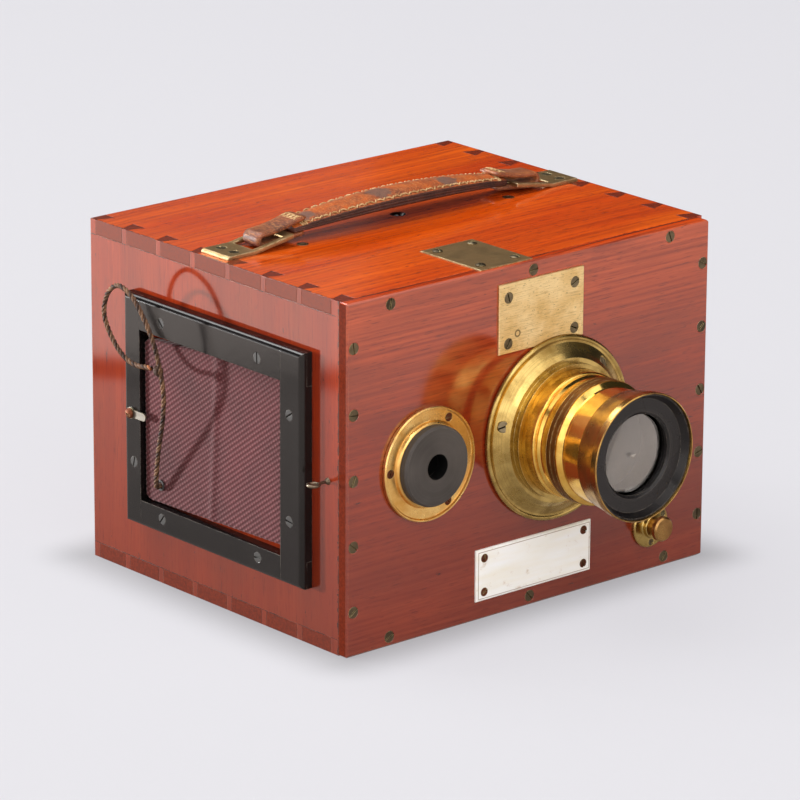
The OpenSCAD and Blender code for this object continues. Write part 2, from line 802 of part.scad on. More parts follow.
// Thin leaves that lie one behind the other and leave a round opening
module iris_leaves() color("#3a3a3c") {
    for (i = [0:leaves_n - 1])
        at_front(lens_x, lens_z, leaves_at + i*leaf_step) rotate(i*360/leaves_n)
            linear_extrude(leaf_step - leaf_gap) difference() {
                circle(barrel_bore - screw_fit);
                circle(aperture_r);
                translate([0, -barrel_bore - aperture_r/2]) square(2*barrel_bore, center = true);
            }
}

// Finder

module finder_revolve() {
    at_front(finder_x, finder_z) rotate_extrude($fn = 96) children();
}

dish_t = 1.2;
seat_ring_r = 18.2;
finder_bore = 12;
seat_top = 2.8;

module finder_flange() color("#cfa347") {
    difference() {
        finder_revolve() polygon([[finder_bore, 0], [finder_r - 0.3, 0], [finder_r, 0.3],
            [finder_r, finder_t - 0.5], [finder_r - 0.4, finder_t], [finder_r - 0.9, finder_t],
            [finder_r - 1.4, dish_t], [seat_ring_r + 0.6, dish_t], [seat_ring_r, seat_top - 0.4],
            [seat_ring_r - 0.6, seat_top], [finder_bore, seat_top]]);
        for (p = finder_screws_at) at_front(p[0], p[1], dish_t)
            screw_space(label_head, small_head_t, small_shank, label_screw_len);
    }
}

module finder_disc() color("#232323") {
    finder_revolve() difference() {
        polygon([[finder_neck, -panel_t + 1], [finder_bore - run_fit, -panel_t + 1],
            [finder_bore - run_fit, seat_top], [disc_r, seat_top], [disc_r, disc_front - 1],
            [disc_r - 0.9, disc_front], [finder_neck, disc_front]]);
        translate([0, 1.4]) square([disc_hole_r, 9]);
    }
}

finder_neck = disc_hole_r;

module finder_glass() color("#6d7476") {
    finder_revolve() translate([0, -1]) square([disc_hole_r - screw_fit, 1.6]);
}

// Release

module release_revolve() {
    at_front(release_x, release_z) rotate_extrude($fn = 64) children();
}

module release_escutcheon() color("#c79b43") {
    difference() {
        release_revolve() polygon([[stem_r + run_fit, 0], [escutcheon_r, 0],
            [escutcheon_r, escutcheon_t - 0.5], [escutcheon_r - 0.6, escutcheon_t],
            [boss_r + 0.4, escutcheon_t], [boss_r, escutcheon_t + 0.4],
            [boss_r - 0.2, escutcheon_t + boss_h - 0.3], [boss_r - 0.5, escutcheon_t + boss_h],
            [stem_r + run_fit, escutcheon_t + boss_h]]);
        for (p = escutcheon_screws_at) at_front(p[0], p[1], escutcheon_t)
            screw_space(fine_head, fine_head_t, fine_shank, fine_len);
    }
}

// Like screws that hold the escutcheon and the door hinges' fixed leaves
module fine_screws() color("#7d6b38") {
    for (i = [0:2]) at_front(escutcheon_screws_at[i][0], escutcheon_screws_at[i][1], escutcheon_t)
        slotted_screw(fine_head, fine_head_t, fine_shank, fine_len, 25 + 60*i);
    for (i = [0:3]) at_back(fixed_screws_at[i][0], fixed_screws_at[i][1], leaf_t)
        slotted_screw(fine_head, fine_head_t, fine_shank, fine_len, 33*i);
}

button_back = escutcheon_t + boss_h + button_travel + 0.2;
stem_end = -panel_t - 3;
stem_nose = 1.5;

module release_button() color("#b98a3e") {
    release_revolve() polygon([[0, stem_end], [stem_nose, stem_end],
        [stem_r, stem_end + stem_r - stem_nose], [stem_r, button_back], [button_r - 0.6, button_back],
        [button_r, button_back + 0.5], [button_r, button_back + button_t - 0.7],
        [button_r - 0.7, button_back + button_t], [0, button_back + button_t]]);
}

// Plates on the front and the top

// Part of the blank plate that the lens flange covers is cut away round the flange
module front_plate() color("#c6a355") {
    difference() {
        at_front(plate_x, plate_z) bevelled_plate(plate_w, plate_h, plate_t, 0.3);
        for (p = plate_screws_at) at_front(p[0], p[1], plate_t)
            screw_space(small_head, small_head_t, small_shank, fitting_screw_len);
        at_front(lens_x, lens_z, -cut) cylinder(r = flange_r + screw_fit, h = plate_t + 2*cut, $fn = 128);
    }
}

module nameplate() color("#ece6d2") {
    difference() {
        at_front(label_x, label_z) bevelled_plate(label_w, label_h, label_t, 0.5);
        for (p = label_screws_at) at_front(p[0], p[1], label_t)
            screw_space(label_head, small_head_t, small_shank, label_screw_len);
    }
}

// Like screws that hold the finder and the ivory plate
module small_screws() color("#7a4a33") {
    for (i = [0:2]) at_front(finder_screws_at[i][0], finder_screws_at[i][1], dish_t)
        slotted_screw(label_head, small_head_t, small_shank, label_screw_len, 70*i);
    for (i = [0:3]) at_front(label_screws_at[i][0], label_screws_at[i][1], label_t)
        slotted_screw(label_head, small_head_t, small_shank, label_screw_len, 30 + 40*i);
}

module top_plate() color("#8f7c45") {
    difference() {
        translate([top_plate_mid[0], top_plate_mid[1], case_h])
            bevelled_plate(top_plate_w, top_plate_l, top_plate_t, 0.25);
        for (p = top_plate_screws_at) translate([p[0], p[1], case_h])
            translate([0, 0, -cut]) cylinder(d = pin_shank + 2*screw_fit, h = 3, $fn = 24);
    }
}

module top_plate_screws() color("#a08a48") {
    for (i = [0:3])
        translate([top_plate_screws_at[i][0], top_plate_screws_at[i][1], case_h + top_plate_t])
            translate([0, 0, 0.35])
                slotted_screw(pin_head, 0.35, pin_shank, pin_len + top_plate_t, 40 + 37*i, 0.7);
}

// Handle

// Bracket on the left: a flat foot and a pair of arms that rise to a cross bar
module bracket() {
    foot_end = -bracket_out + foot_l;
    window_back = foot_end + 0.5;
    difference() {
        translate([0, handle_y + bracket_w/2, case_h]) rotate([90, 0, 0]) linear_extrude(bracket_w)
            polygon([[-bracket_out, 0], [foot_end, 0], [foot_end + arm_l, arm_rise],
                [foot_end + arm_l, arm_rise + bracket_t], [foot_end, bracket_t],
                [-bracket_out + 0.8, bracket_t], [-bracket_out, bracket_t - 0.8]]);
        translate([window_back, handle_y - window_w/2, case_h - cut])
            cube([arm_l - bar_w - 0.5, window_w, arm_rise + bracket_t + 2*cut]);
    }
}

module handle_bracket_left() color("#a3904f") {
    difference() {
        bracket();
        bracket_screw_spaces();
    }
}

module handle_bracket_right() color("#a3904f") {
    difference() {
        mirror([1, 0, 0]) bracket();
        bracket_screw_spaces();
    }
}

module bracket_screws() color("#6f6436") {
    for (i = [0:3])
        translate([bracket_screws_at[i][0], bracket_screws_at[i][1], case_h + bracket_t])
            slotted_screw(bracket_head, bracket_head_t, 2.2, bracket_screw_len, 15 + 50*i);
}

bar_z = case_h + arm_rise*(1 - bar_w/2/arm_l) + bracket_t/2;
strap_end_up = 0.45;
strap_end_z = bar_z + strap_end_up;
strap_n = 16;
strap_edge = 0.6;
strap_side = 0.2;
strap_end_t = 3.4;
function strap_w_at(t) = strap_end_w + (strap_w - strap_end_w)*pow(cos(90*t), 0.7);
function strap_z_at(t) = strap_end_z + (case_h + strap_rise - strap_end_z)*(1 - t*t);
function strap_t_at(t) = strap_end_t + (strap_t - strap_end_t)*pow(cos(90*t), 0.6);

// One cross section of the strap, crowned on top, at a share t of its half length
function strap_ring(t) = let (
        x = strap_half*t, w = strap_w_at(abs(t)), z = strap_z_at(abs(t)), h = strap_t_at(abs(t)))
    [[x, handle_y - w/2 + strap_edge, z], [x, handle_y - w/2, z + 0.25*h],
     [x, handle_y - w/2 + strap_side, z + 0.6*h],
     [x, handle_y - w/4, z + 0.9*h], [x, handle_y, z + h], [x, handle_y + w/4, z + 0.9*h],
     [x, handle_y + w/2 - strap_side, z + 0.6*h], [x, handle_y + w/2, z + 0.25*h],
     [x, handle_y + w/2 - strap_edge, z]];

// Skin over a row of rings that have the same number of points, with flat ends
module swept(rings) {
    m = len(rings[0]);
    n = len(rings);
    polyhedron(
        points = [for (r = rings, p = r) p],
        faces = concat(
            [[for (j = [0:m - 1]) j]],
            [for (i = [0:n - 2], j = [0:m - 1]) [i*m + j, (i + 1)*m + j, i*m + (j + 1)%m]],
            [for (i = [0:n - 2], j = [0:m - 1])
                [i*m + (j + 1)%m, (i + 1)*m + j, (i + 1)*m + (j + 1)%m]],
            [[for (j = [m - 1:-1:0]) (n - 1)*m + j]]));
}

module handle_strap() color("#8c4a22") {
    swept([for (i = [-strap_n:strap_n]) strap_ring(i/strap_n)]);
}

loop_hgt = bracket_t + arm_rise*bar_w/arm_l + 2*soft_gap + 2*loop_t;

// Flat loop of leather round the bracket's cross bar, its inner end against the strap
module strap_loop() {
    inner_end = -strap_half;
    translate([inner_end - loop_l/2, handle_y + loop_w/2, bar_z]) rotate([90, 0, 0])
        linear_extrude(loop_w) difference() {
            cornered(loop_l, loop_hgt, [2.4, 0.5, 0.5, 2.4]);
            cornered(loop_l - 2*loop_t, loop_hgt - 2*loop_t, [0.6, 0.3, 0.3, 0.6]);
        }
}

module strap_loops() color("#5a3220") {
    strap_loop();
    mirror([1, 0, 0]) strap_loop();
}

// Side frame

// Whole frame before its corners are jointed
module frame_blank() {
    at_left(0, 0) intersection() {
        translate([(frame_low + frame_top)/2, frame_y, 0])
            rotate([90, 0, 0]) linear_extrude(frame_l + cut, center = true)
                round_top(frame_hgt, frame_t, frame_round);
        translate([(frame_low + frame_top)/2, frame_y, 0])
            rotate([90, 0, 90]) linear_extrude(frame_hgt + cut, center = true)
                round_top(frame_l, frame_t, frame_round);
    }
}

lap = frame_t/2;

// Block on the left side board from one place to another, between two heights off the board
module side_block(y0, y1, z0, z1, h0, h1) {
    translate([-half_w - h1, y0, z0]) cube([h1 - h0, y1 - y0, z1 - z0]);
}

// A stile: full height, halved under its face at both ends for the rails' tongues
module stile(y0, y1) {
    difference() {
        intersection() {
            frame_blank();
            side_block(y0, y1, frame_low - cut, frame_top + cut, -cut, frame_t + cut);
        }
        side_block(y0 - cut, y1 + cut, frame_low - cut, open_low, -cut, lap);
        side_block(y0 - cut, y1 + cut, open_top, frame_top + cut, -cut, lap);
        frame_screw_spaces();
        at_left(tab_at[0], tab_at[1], frame_t) pilot(2*tab_pin_r, tab_pin_len);
    }
}

// A rail: between the stiles, with a half-thick tongue under each
module rail(z0, z1) {
    difference() {
        intersection() {
            frame_blank();
            union() {
                side_block(open_front, open_back, z0, z1, -cut, frame_t + cut);
                side_block(frame_front - cut, frame_back + cut, z0, z1, -cut, lap);
            }
        }
        frame_screw_spaces();
    }
}

module frame_stile_front() color("#1b1b1d") {
    stile(frame_front, open_front);
}

module frame_stile_rear() color("#1b1b1d") {
    stile(open_back, frame_back);
}

module frame_rail_top() color("#1b1b1d") {
    rail(open_top, frame_top);
}

module frame_rail_low() color("#1b1b1d") {
    rail(frame_low, open_low);
}

module side_frame_screws() color("#3c3a34") {
    for (i = [0:len(frame_screws) - 1]) at_left(frame_screws[i][0], frame_screws[i][1], frame_t)
        slotted_screw(frame_screw_head, screw_head_t, frame_shank, frame_screw_len, 100 + 41*i);
}

// Flap, cloth and cord

flap_face = flap_t + cloth_t;
hole_at = [open_back - cord_hole_in, frame_low + cord_hole_up];
flap_front = open_front + soft_gap;
flap_skew = 3.3;
flap_back = open_back - 0.5;

// Outline of the flap, drawn with height along x and depth along y: a little out of square
module flap_outline(edge) {
    r = 4;
    hull() {
        translate([open_low + flap_skew + edge, flap_front + edge]) square(0.1);
        translate([open_top - soft_gap - edge - 0.1, flap_front + edge]) square(0.1);
        translate([open_top - soft_gap - edge - 0.1, flap_front + 44]) square(0.1);
        translate([open_top - flap_skew - r - edge, flap_back - r - edge]) circle(r, $fn = 32);
        translate([open_low + 0.5 + r + edge, flap_back - r - 0.6 - edge]) circle(r, $fn = 32);
    }
}

eyelet_r = 2.4;
eyelet_lip = 0.3;

module side_flap() color("#3a2622") {
    at_left(0, 0) linear_extrude(flap_t) flap_outline(cloth_edge);
}

cloth_edge = 0.8;

module flap_cloth() color("#5c1f2a") {
    at_left(0, 0) difference() {
        linear_extrude(flap_face) flap_outline(0);
        translate([0, 0, -cut]) linear_extrude(flap_t + cut) flap_outline(cloth_edge);
    }
}

module cord_eyelet() color("#2c2220") {
    at_left(hole_at[0], hole_at[1], flap_face) rotate_extrude($fn = 32)
        translate([cord_d/2 + soft_gap, 0])
            square([eyelet_r - cord_d/2 - soft_gap, eyelet_lip]);
}

// Places that the cord passes, from its hole in the flap up, round its loop and back to itself
cord_start = [-half_w - flap_face, hole_at[0], hole_at[1]];
cord_route = [cord_start, cord_start - [cord_d, 0, 0],
    [-109.5, 30.5, 53], [-112.5, 25, 66], [-115.5, 18.5, 80], [-118, 14.5, 93], [-119.5, 15, 105],
    [-120.5, 18.5, 117], [-121, 25.5, 127.5], [-120.5, 33.5, 133.5], [-120, 42.5, 135],
    [-119.5, 50, 129.5], [-119, 53, 120], [-119, 48, 111], [-119, 40, 104.5], [-119, 32, 102.5],
    [-119, 26, 103], [-119, 21, 103.5]];
cord_sides = 8;

// Point on a smooth curve through four neighbouring places
function curve(a, b, c, d, t) = 0.5*(2*b + (c - a)*t + (2*a - 5*b + 4*c - d)*t*t
    + (3*b - a - 3*c + d)*t*t*t);
function route_point(r, i) = r[max(0, min(len(r) - 1, i))];
function smooth(r, k) = concat(
    [for (i = [0:len(r) - 2], j = [0:k - 1])
        curve(route_point(r, i - 1), r[i], r[i + 1], route_point(r, i + 2), j/k)],
    [r[len(r) - 1]]);
function unit(v) = v/norm(v);
function heading(p, i) = unit(p[min(i + 1, len(p) - 1)] - p[max(i - 1, 0)]);
function tube_ring(c, h, a, d, n) = let (b = cross(h, a))
    [for (k = [0:n - 1]) c + d/2*(cos(360*k/n)*a + sin(360*k/n)*b)];

module tube(route, d, n) {
    p = smooth(route, 2);
    frames = [for (i = 0, a = unit(cross(heading(p, 0), [0, 0.3, 1])); i < len(p); i = i + 1,
        a = i < len(p) ? unit(a - heading(p, i)*(heading(p, i)*a)) : a) a];
    swept([for (i = [0:len(p) - 1]) tube_ring(p[i], heading(p, i), frames[i], d, n)]);
}

module cord() color("#5b3a22") {
    tube(cord_route, cord_d, cord_sides);
}

knot_at = cord_route[6];
knot_r = 2.9;
knot_reach = 4.4;

// Knot at the cord's end, tied round its standing part
module cord_knot() color("#3f2817") {
    difference() {
        hull() {
            translate(knot_at + [0.4, 0, -1.6]) sphere(knot_r, $fn = 16);
            translate(knot_at + [0.4, knot_reach, -1.8]) sphere(knot_r - 0.6, $fn = 16);
        }
        tube(cord_route, cord_d + 2*soft_gap, cord_sides);
    }
}

module turn_button() color("#b9b4a6") {
    at_left(tab_at[0], tab_at[1], frame_t + run_fit) difference() {
        union() {
            linear_extrude(tab_t) union() {
                circle(tab_w*0.75, $fn = 48);
                translate([-tab_w/2, -tab_l + tab_w/2]) square([tab_w, tab_l - tab_w/2]);
                translate([0, -tab_l + tab_w/2]) circle(tab_w/2, $fn = 32);
            }
        }
        translate([0, 0, -cut]) cylinder(r = tab_pin_r + run_fit, h = 4, $fn = 32);
    }
}

module turn_button_screw() color("#7c5a3c") {
    at_left(tab_at[0], tab_at[1], frame_t + tab_t + 3*run_fit) difference() {
        union() {
            cylinder(d = 4.6, h = 0.5, $fn = 32);
            intersection() {
                cylinder(d = 4.6, h = 2, $fn = 32);
                translate([0, 0, -0.7]) sphere(2.6, $fn = 48);
            }
            translate([0, 0, -tab_pin_len]) cylinder(r = tab_pin_r, h = tab_pin_len + 0.2, $fn = 32);
        }
        rotate(70) translate([0, 0, 2]) cube([8, slot_w, 1.4], center = true);
    }
}

module screw_eye() color("#9a8a55") {
    ring_r = (eye_d - eye_wire)/2;
    at_left(eye_at[0], eye_at[1]) {
        translate([0, 0, eye_reach - eye_d/2]) rotate([0, 90, 0])
            rotate_extrude($fn = 48) translate([ring_r, 0]) circle(eye_wire/2, $fn = 24);
        translate([0, 0, 0.6]) cylinder(r = eye_wire/2, h = eye_reach - eye_d + eye_wire/2 - 0.6, $fn = 24);
        cylinder(r1 = 1.6, r2 = eye_wire/2, h = 1.4, $fn = 32);
        translate([0, 0, -eye_screw_len]) cylinder(r = eye_screw_r, h = eye_screw_len, $fn = 24);
    }
}

// Back door

hinge_zs = [board_t + door_gap + hinge_in + hinge_l/2, inner_top - door_gap - hinge_in - hinge_l/2];
hinge_axis_y = back_y + knuckle_r + run_fit;
hinge_pin_r = knuckle_r/2;
knuckle_gap = 0.2;
mid_knuckle = hinge_l/3;
leaf_w = 7;
door_leaf_w = 14;
fixed_screws_at = [for (z = hinge_zs, s = [-1, 1]) [inner_x + 4.6, z + s*hinge_l/3]];
door_screws_at = [for (z = hinge_zs, s = [-1, 1]) [inner_x - 9, z + s*hinge_l/3]];

module hinge_screw_spaces() {
    for (p = concat(fixed_screws_at, door_screws_at)) at_back(p[0], p[1], leaf_t)
        screw_space(fine_head, fine_head_t, fine_shank, fine_len);
}

module back_door() color("#8a3220") {
    difference() {
        translate([-inner_x + door_gap, back_y - door_t, board_t + door_gap])
            cube([2*(inner_x - door_gap), door_t, inner_top - board_t - 2*door_gap]);
        hinge_screw_spaces();
        for (s = [-1, 1]) at_back(pull_x + s*pull_screw_x, pull_z) pilot(fine_shank, fine_len);
    }
}

// Rolled knuckle on the hinge axis between two heights
module knuckle(z0, z1) {
    translate([inner_x, hinge_axis_y, z0]) cylinder(r = knuckle_r, h = z1 - z0, $fn = 48);
}

module hinge_bores() {
    for (z = hinge_zs) translate([inner_x, hinge_axis_y, z - hinge_l])
        cylinder(r = hinge_pin_r + run_fit, h = 2*hinge_l, $fn = 48);
}

module hinge_leaves_fixed() color("#b08a3c") {
    difference() {
        union() {
            for (z = hinge_zs) {
                translate([inner_x + knuckle_r + 0.4, back_y, z - hinge_l/2])
                    cube([leaf_w - knuckle_r - 0.4, leaf_t, hinge_l]);
                for (s = [-1, 1]) {
                    a = s > 0 ? z + mid_knuckle/2 : z - hinge_l/2;
                    knuckle(a, a + mid_knuckle);
                    translate([inner_x, back_y + 0.05, a]) cube([knuckle_r + 0.5, leaf_t, mid_knuckle]);
                }
            }
        }
        hinge_bores();
        hinge_screw_spaces();
    }
}

module hinge_leaves_moving() color("#b08a3c") {
    difference() {
        for (z = hinge_zs) {
            translate([inner_x - door_leaf_w, back_y, z - hinge_l/2])
                cube([door_leaf_w - knuckle_r - 0.4, leaf_t, hinge_l]);
            knuckle(z - mid_knuckle/2 + knuckle_gap, z + mid_knuckle/2 - knuckle_gap);
            translate([inner_x - knuckle_r - 0.5, back_y + 0.05, z - mid_knuckle/2 + knuckle_gap])
                cube([knuckle_r + 0.5, leaf_t, mid_knuckle - 2*knuckle_gap]);
        }
        hinge_bores();
        hinge_screw_spaces();
    }
}

module hinge_pins() color("#9a7a36") {
    for (z = hinge_zs) translate([inner_x, hinge_axis_y, z - hinge_l/2])
        cylinder(r = hinge_pin_r, h = hinge_l, $fn = 48);
}

// Like screws that hold the hinges' moving leaves and the ring's plate
module door_screws() color("#8c7a44") {
    for (i = [0:3]) at_back(door_screws_at[i][0], door_screws_at[i][1], leaf_t)
        slotted_screw(fine_head, fine_head_t, fine_shank, fine_len, 33*i);
    for (s = [-1, 1]) at_back(pull_x + s*pull_screw_x, pull_z, leaf_t)
        slotted_screw(fine_head, fine_head_t, fine_shank, fine_len, 20*s);
}

pull_x = -inner_x + 22;
pull_z = case_h/2;
pull_plate_w = 18;
pull_plate_h = 9;
pull_screw_x = 6.2;
pull_out = 3.6;
pull_eye_w = 3;
pull_eye_r = 2.6;
pull_gap = 0.3;

// Plate with an eye that the drop ring hangs in
module door_pull_plate() color("#b08a3c") {
    difference() {
        union() {
            at_back(pull_x, pull_z) bevelled_plate(pull_plate_w, pull_plate_h, leaf_t, 0.3);
            translate([pull_x, back_y + pull_out, pull_z]) rotate([0, 90, 0])
                cylinder(r = pull_eye_r, h = pull_eye_w, center = true, $fn = 48);
            translate([pull_x - pull_eye_w/2, back_y + leaf_t/2, pull_z - 1.8])
                cube([pull_eye_w, pull_out - leaf_t/2 - pull_wire/2 - pull_gap, 3.6]);
        }
        translate([pull_x, back_y + pull_out, pull_z]) rotate([0, 90, 0])
            cylinder(r = pull_wire/2 + pull_gap, h = 2*pull_eye_w, center = true, $fn = 48);
        for (s = [-1, 1]) at_back(pull_x + s*pull_screw_x, pull_z, leaf_t)
            screw_space(fine_head, fine_head_t, fine_shank, fine_len);
    }
}

module door_pull_ring() color("#c0973f") {
    translate([pull_x, back_y + pull_out, pull_z - pull_r + pull_wire/2]) rotate([90, 0, 0])
        rotate_extrude($fn = 96) translate([pull_r - pull_wire/2, 0]) circle(pull_wire/2, $fn = 32);
}

// Inside

module partition() color("#4a2a1e") {
    difference() {
        translate([-inner_x, partition_y - partition_t/2, board_t])
            cube([2*inner_x, partition_t, inner_top - board_t]);
        translate([lens_x - gate/2, partition_y - partition_t, lens_z - gate/2])
            cube([gate, 2*partition_t, gate]);
        partition_screw_spaces();
    }
}

trough_y = partition_y + partition_t/2;
trough_l = sheath_n*sheath_pitch + 2;
trough_in = sheath/2 - groove + 0.2;

// Slots of the sheaths: one behind the other, open at the top
module sheath_slots(gap) {
    for (i = [0:sheath_n - 1])
        translate([lens_x - sheath/2 - gap, trough_y + 1.5 + i*sheath_pitch, lens_z - sheath/2])
            cube([sheath + 2*gap, sheath_t + (gap > 0 ? 0.3 : 0), sheath + (gap > 0 ? 40 : 0)]);
}

// Grooved wooden trough that holds the sheathed plates upright behind the picture opening
module plate_trough() color("#5a3220") {
    difference() {
        translate([lens_x - trough_in - trough_t, trough_y, lens_z - sheath/2 - trough_t + groove])
            cube([2*(trough_in + trough_t), trough_l, sheath*0.8]);
        translate([lens_x - trough_in, trough_y - cut, lens_z - sheath/2 + groove])
            cube([2*trough_in, trough_l + 2*cut, sheath]);
        sheath_slots(0.3);
    }
}

module plate_sheaths() color("#2b2b2d") {
    sheath_slots(0);
}

shutter_back = -panel_t - shutter_t;
blade_front = shutter_back - 0.3;
blade_back = blade_front - blade_t;
blade_r = shutter_hole + blade_lap;
shutter_margin = 16;
shutter_below = 8;
shutter_round = 6;
shutter_w = 2*(blade_r + shutter_margin);
shutter_low = blade_arm + shutter_below;
tail_w = 5;

// Brass plate behind the lens with the shutter's opening
module shutter_plate() color("#a8883f") {
    difference() {
        at_front(lens_x, lens_z + (shutter_w/2 - shutter_low)/2, shutter_back) linear_extrude(shutter_t)
            cornered(shutter_w, shutter_w/2 + shutter_low, [for (i = [0:3]) shutter_round]);
        at_front(lens_x, lens_z, shutter_back - cut) cylinder(r = shutter_hole, h = shutter_t + 2*cut);
        at_front(lens_x, lens_z - blade_arm, shutter_back - cut)
            cylinder(r = pivot_r + run_fit, h = shutter_t + 2*cut);
    }
}

// Blade that swings aside on its pivot: a disc on an arm, with a tail below the pivot
module shutter_blade() color("#4a4038") {
    at_front(lens_x, lens_z - blade_arm, blade_back) difference() {
        union() {
            translate([0, blade_arm, 0]) cylinder(r = blade_r, h = blade_t, $fn = 96);
            cylinder(r = 5, h = blade_t);
            translate([-4, 0, 0]) cube([8, blade_arm, blade_t]);
            translate([-tail_w/2, -blade_tail, 0]) cube([tail_w, blade_tail, blade_t]);
        }
        translate([0, 0, -cut]) cylinder(r = pivot_r + run_fit, h = blade_t + 2*cut);
    }
}

catch_pin_r = 1.2;
catch_eye_r = 2.5;
catch_face = stem_end - 0.3;
catch_x = release_x + catch_arm;
catch_y = front_y - catch_face + catch_t/2;
nose_x = lens_x + tail_w/2 + 0.3;
nose_w = 4;
lug_t = 2;
lug_gap = 0.2;
catch_low = release_z - catch_w/2;
catch_high = release_z + catch_w/2;

// Lever that the stem pushes back; its nose bears on the blade's tail
module shutter_catch() color("#b89548") {
    difference() {
        union() {
            translate([nose_x, catch_y - catch_t/2, catch_low])
                cube([catch_x - nose_x, catch_t, catch_w]);
            translate([nose_x, catch_y - catch_t/2, release_z])
                cube([nose_w, catch_t, lens_z - blade_arm - blade_tail + 5 - release_z]);
            translate([nose_x, catch_y - catch_t/2 - 1.4, lens_z - blade_arm - blade_tail])
                cube([nose_w, 2, 5]);
            translate([catch_x, catch_y, catch_low]) cylinder(r = catch_eye_r, h = catch_w, $fn = 48);
        }
        translate([catch_x, catch_y, catch_low - cut])
            cylinder(r = catch_pin_r + run_fit, h = catch_w + 2*cut, $fn = 48);
    }
}

// Shouldered pivot of the blade, and the post and pin that carry the catch
module shutter_pivots() color("#8c7436") {
    at_front(lens_x, lens_z - blade_arm, blade_back - 0.3 - 1) {
        cylinder(r = pivot_r + 1.4, h = 1, $fn = 48);
        cylinder(r = pivot_r, h = 1.3 + blade_t + 0.3 + shutter_t);
    }
    translate([catch_x, catch_y, catch_low - lug_gap - lug_t])
        cylinder(r = catch_pin_r, h = catch_w + 2*lug_gap + 2*lug_t, $fn = 48);
    for (z = [catch_low - lug_gap - lug_t, catch_high + lug_gap])
        translate([catch_x - catch_eye_r, front_y + panel_t, z])
            cube([2*catch_eye_r, catch_y + catch_eye_r - front_y - panel_t, lug_t]);
    translate([catch_x + catch_eye_r, front_y + panel_t, catch_low - lug_gap - lug_t])
        cube([2, catch_y + catch_eye_r - front_y - panel_t, catch_w + 2*lug_gap + 2*lug_t]);
}

module tripod_bush() color("#b08a3c") {
    difference() {
        cylinder(r = bush_r, h = bush_t);
        translate([0, 0, -cut]) cylinder(r = bush_hole, h = bush_t + 2*cut);
    }
}

top_board();
bottom_board();
left_side_board();
right_side_board();
front_panel();
panel_screws();
fitting_screws();
small_screws();
fine_screws();
lens_flange();
lens_barrel();
iris_ring();
lens_tube();
lens_hood();
front_lens_cell();
front_glass();
rear_glass();
iris_leaves();
finder_flange();
finder_disc();
finder_glass();
release_escutcheon();
release_button();
front_plate();
nameplate();
top_plate();
top_plate_screws();
handle_bracket_left();
handle_bracket_right();
bracket_screws();
handle_strap();
strap_loops();
frame_stile_front();
frame_stile_rear();
frame_rail_top();
frame_rail_low();
side_frame_screws();
side_flap();
flap_cloth();
cord_eyelet();
cord();
cord_knot();
turn_button();
turn_button_screw();
screw_eye();
back_door();
hinge_leaves_fixed();
hinge_leaves_moving();
hinge_pins();
door_screws();
door_pull_plate();
door_pull_ring();
partition();
plate_trough();
plate_sheaths();
shutter_plate();
shutter_blade();
shutter_catch();
shutter_pivots();
tripod_bush();
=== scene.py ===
"""Hand camera of polished mahogany and lacquered brass, on a pale floor."""

import math
import random

import bmesh
import bpy
from mathutils import Matrix, Vector


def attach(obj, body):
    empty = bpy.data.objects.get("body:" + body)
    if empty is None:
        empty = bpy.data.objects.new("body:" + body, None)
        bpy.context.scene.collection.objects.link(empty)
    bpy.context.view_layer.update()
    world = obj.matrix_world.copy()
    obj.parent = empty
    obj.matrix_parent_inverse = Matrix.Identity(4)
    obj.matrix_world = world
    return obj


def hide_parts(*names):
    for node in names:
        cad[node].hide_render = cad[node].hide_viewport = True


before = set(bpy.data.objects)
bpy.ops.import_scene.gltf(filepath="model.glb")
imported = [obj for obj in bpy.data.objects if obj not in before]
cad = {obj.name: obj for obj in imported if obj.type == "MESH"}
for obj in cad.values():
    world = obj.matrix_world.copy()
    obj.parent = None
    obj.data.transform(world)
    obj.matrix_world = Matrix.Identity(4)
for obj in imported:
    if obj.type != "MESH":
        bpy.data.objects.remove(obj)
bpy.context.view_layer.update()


# Camera that takes the picture: a long lens about 2.2 m away, a little above the case and off its
# left front corner. Its place comes from a perspective fit to the edges of the case.

MM = 0.001
camera_azimuth = math.radians(-40.956)
camera_elevation = math.radians(17.6)
camera_roll = math.radians(0.296)
camera_back = 2238.9 * MM
camera_lift = 67.228 * MM
camera_shift = 0.534 * MM
camera_lens = 231.44
film_width = 36
furthest_seen = 40

back = Vector((
    math.sin(camera_azimuth) * math.cos(camera_elevation),
    -math.cos(camera_azimuth) * math.cos(camera_elevation),
    math.sin(camera_elevation),
))
level = Vector((math.cos(camera_azimuth), math.sin(camera_azimuth), 0))
upright = back.cross(level)
right = level * math.cos(camera_roll) + upright * math.sin(camera_roll)
up = upright * math.cos(camera_roll) - level * math.sin(camera_roll)
camera = bpy.data.objects.new("camera", bpy.data.cameras.new("camera"))
camera.data.lens = camera_lens
camera.data.sensor_width = film_width
turned = Matrix((right, up, back)).transposed().to_4x4()
turned.translation = right * camera_shift + up * camera_lift + back * camera_back
camera.matrix_world = turned
camera.data.clip_end = furthest_seen
bpy.context.scene.collection.objects.link(camera)
bpy.context.scene.camera = camera


# Cord of the flap: brown silk and tan thread twisted together. It comes out of an eyelet low
# on the flap, rises, turns over in a loop and is knotted round itself.

cord_places = [
    (-105.3, 33, 46), (-107.6, 33, 46), (-109.5, 30.5, 53), (-112.5, 25, 66),
    (-115.5, 18.5, 80), (-118, 14.5, 93), (-119.5, 15, 105), (-120.5, 18.5, 117),
    (-121, 25.5, 127.5), (-120.5, 33.5, 133.5), (-120, 42.5, 135), (-119.5, 50, 129.5),
    (-119, 53, 120), (-119, 48, 111), (-119, 40, 104.5), (-119, 32, 102.5),
    (-119, 26, 103), (-119, 21, 103.5),
]
cord_d = 2.3
cord_strands = 3
strand_r = 0.64
strand_sides = 8
cord_twist = 6.6
cord_steps = 14


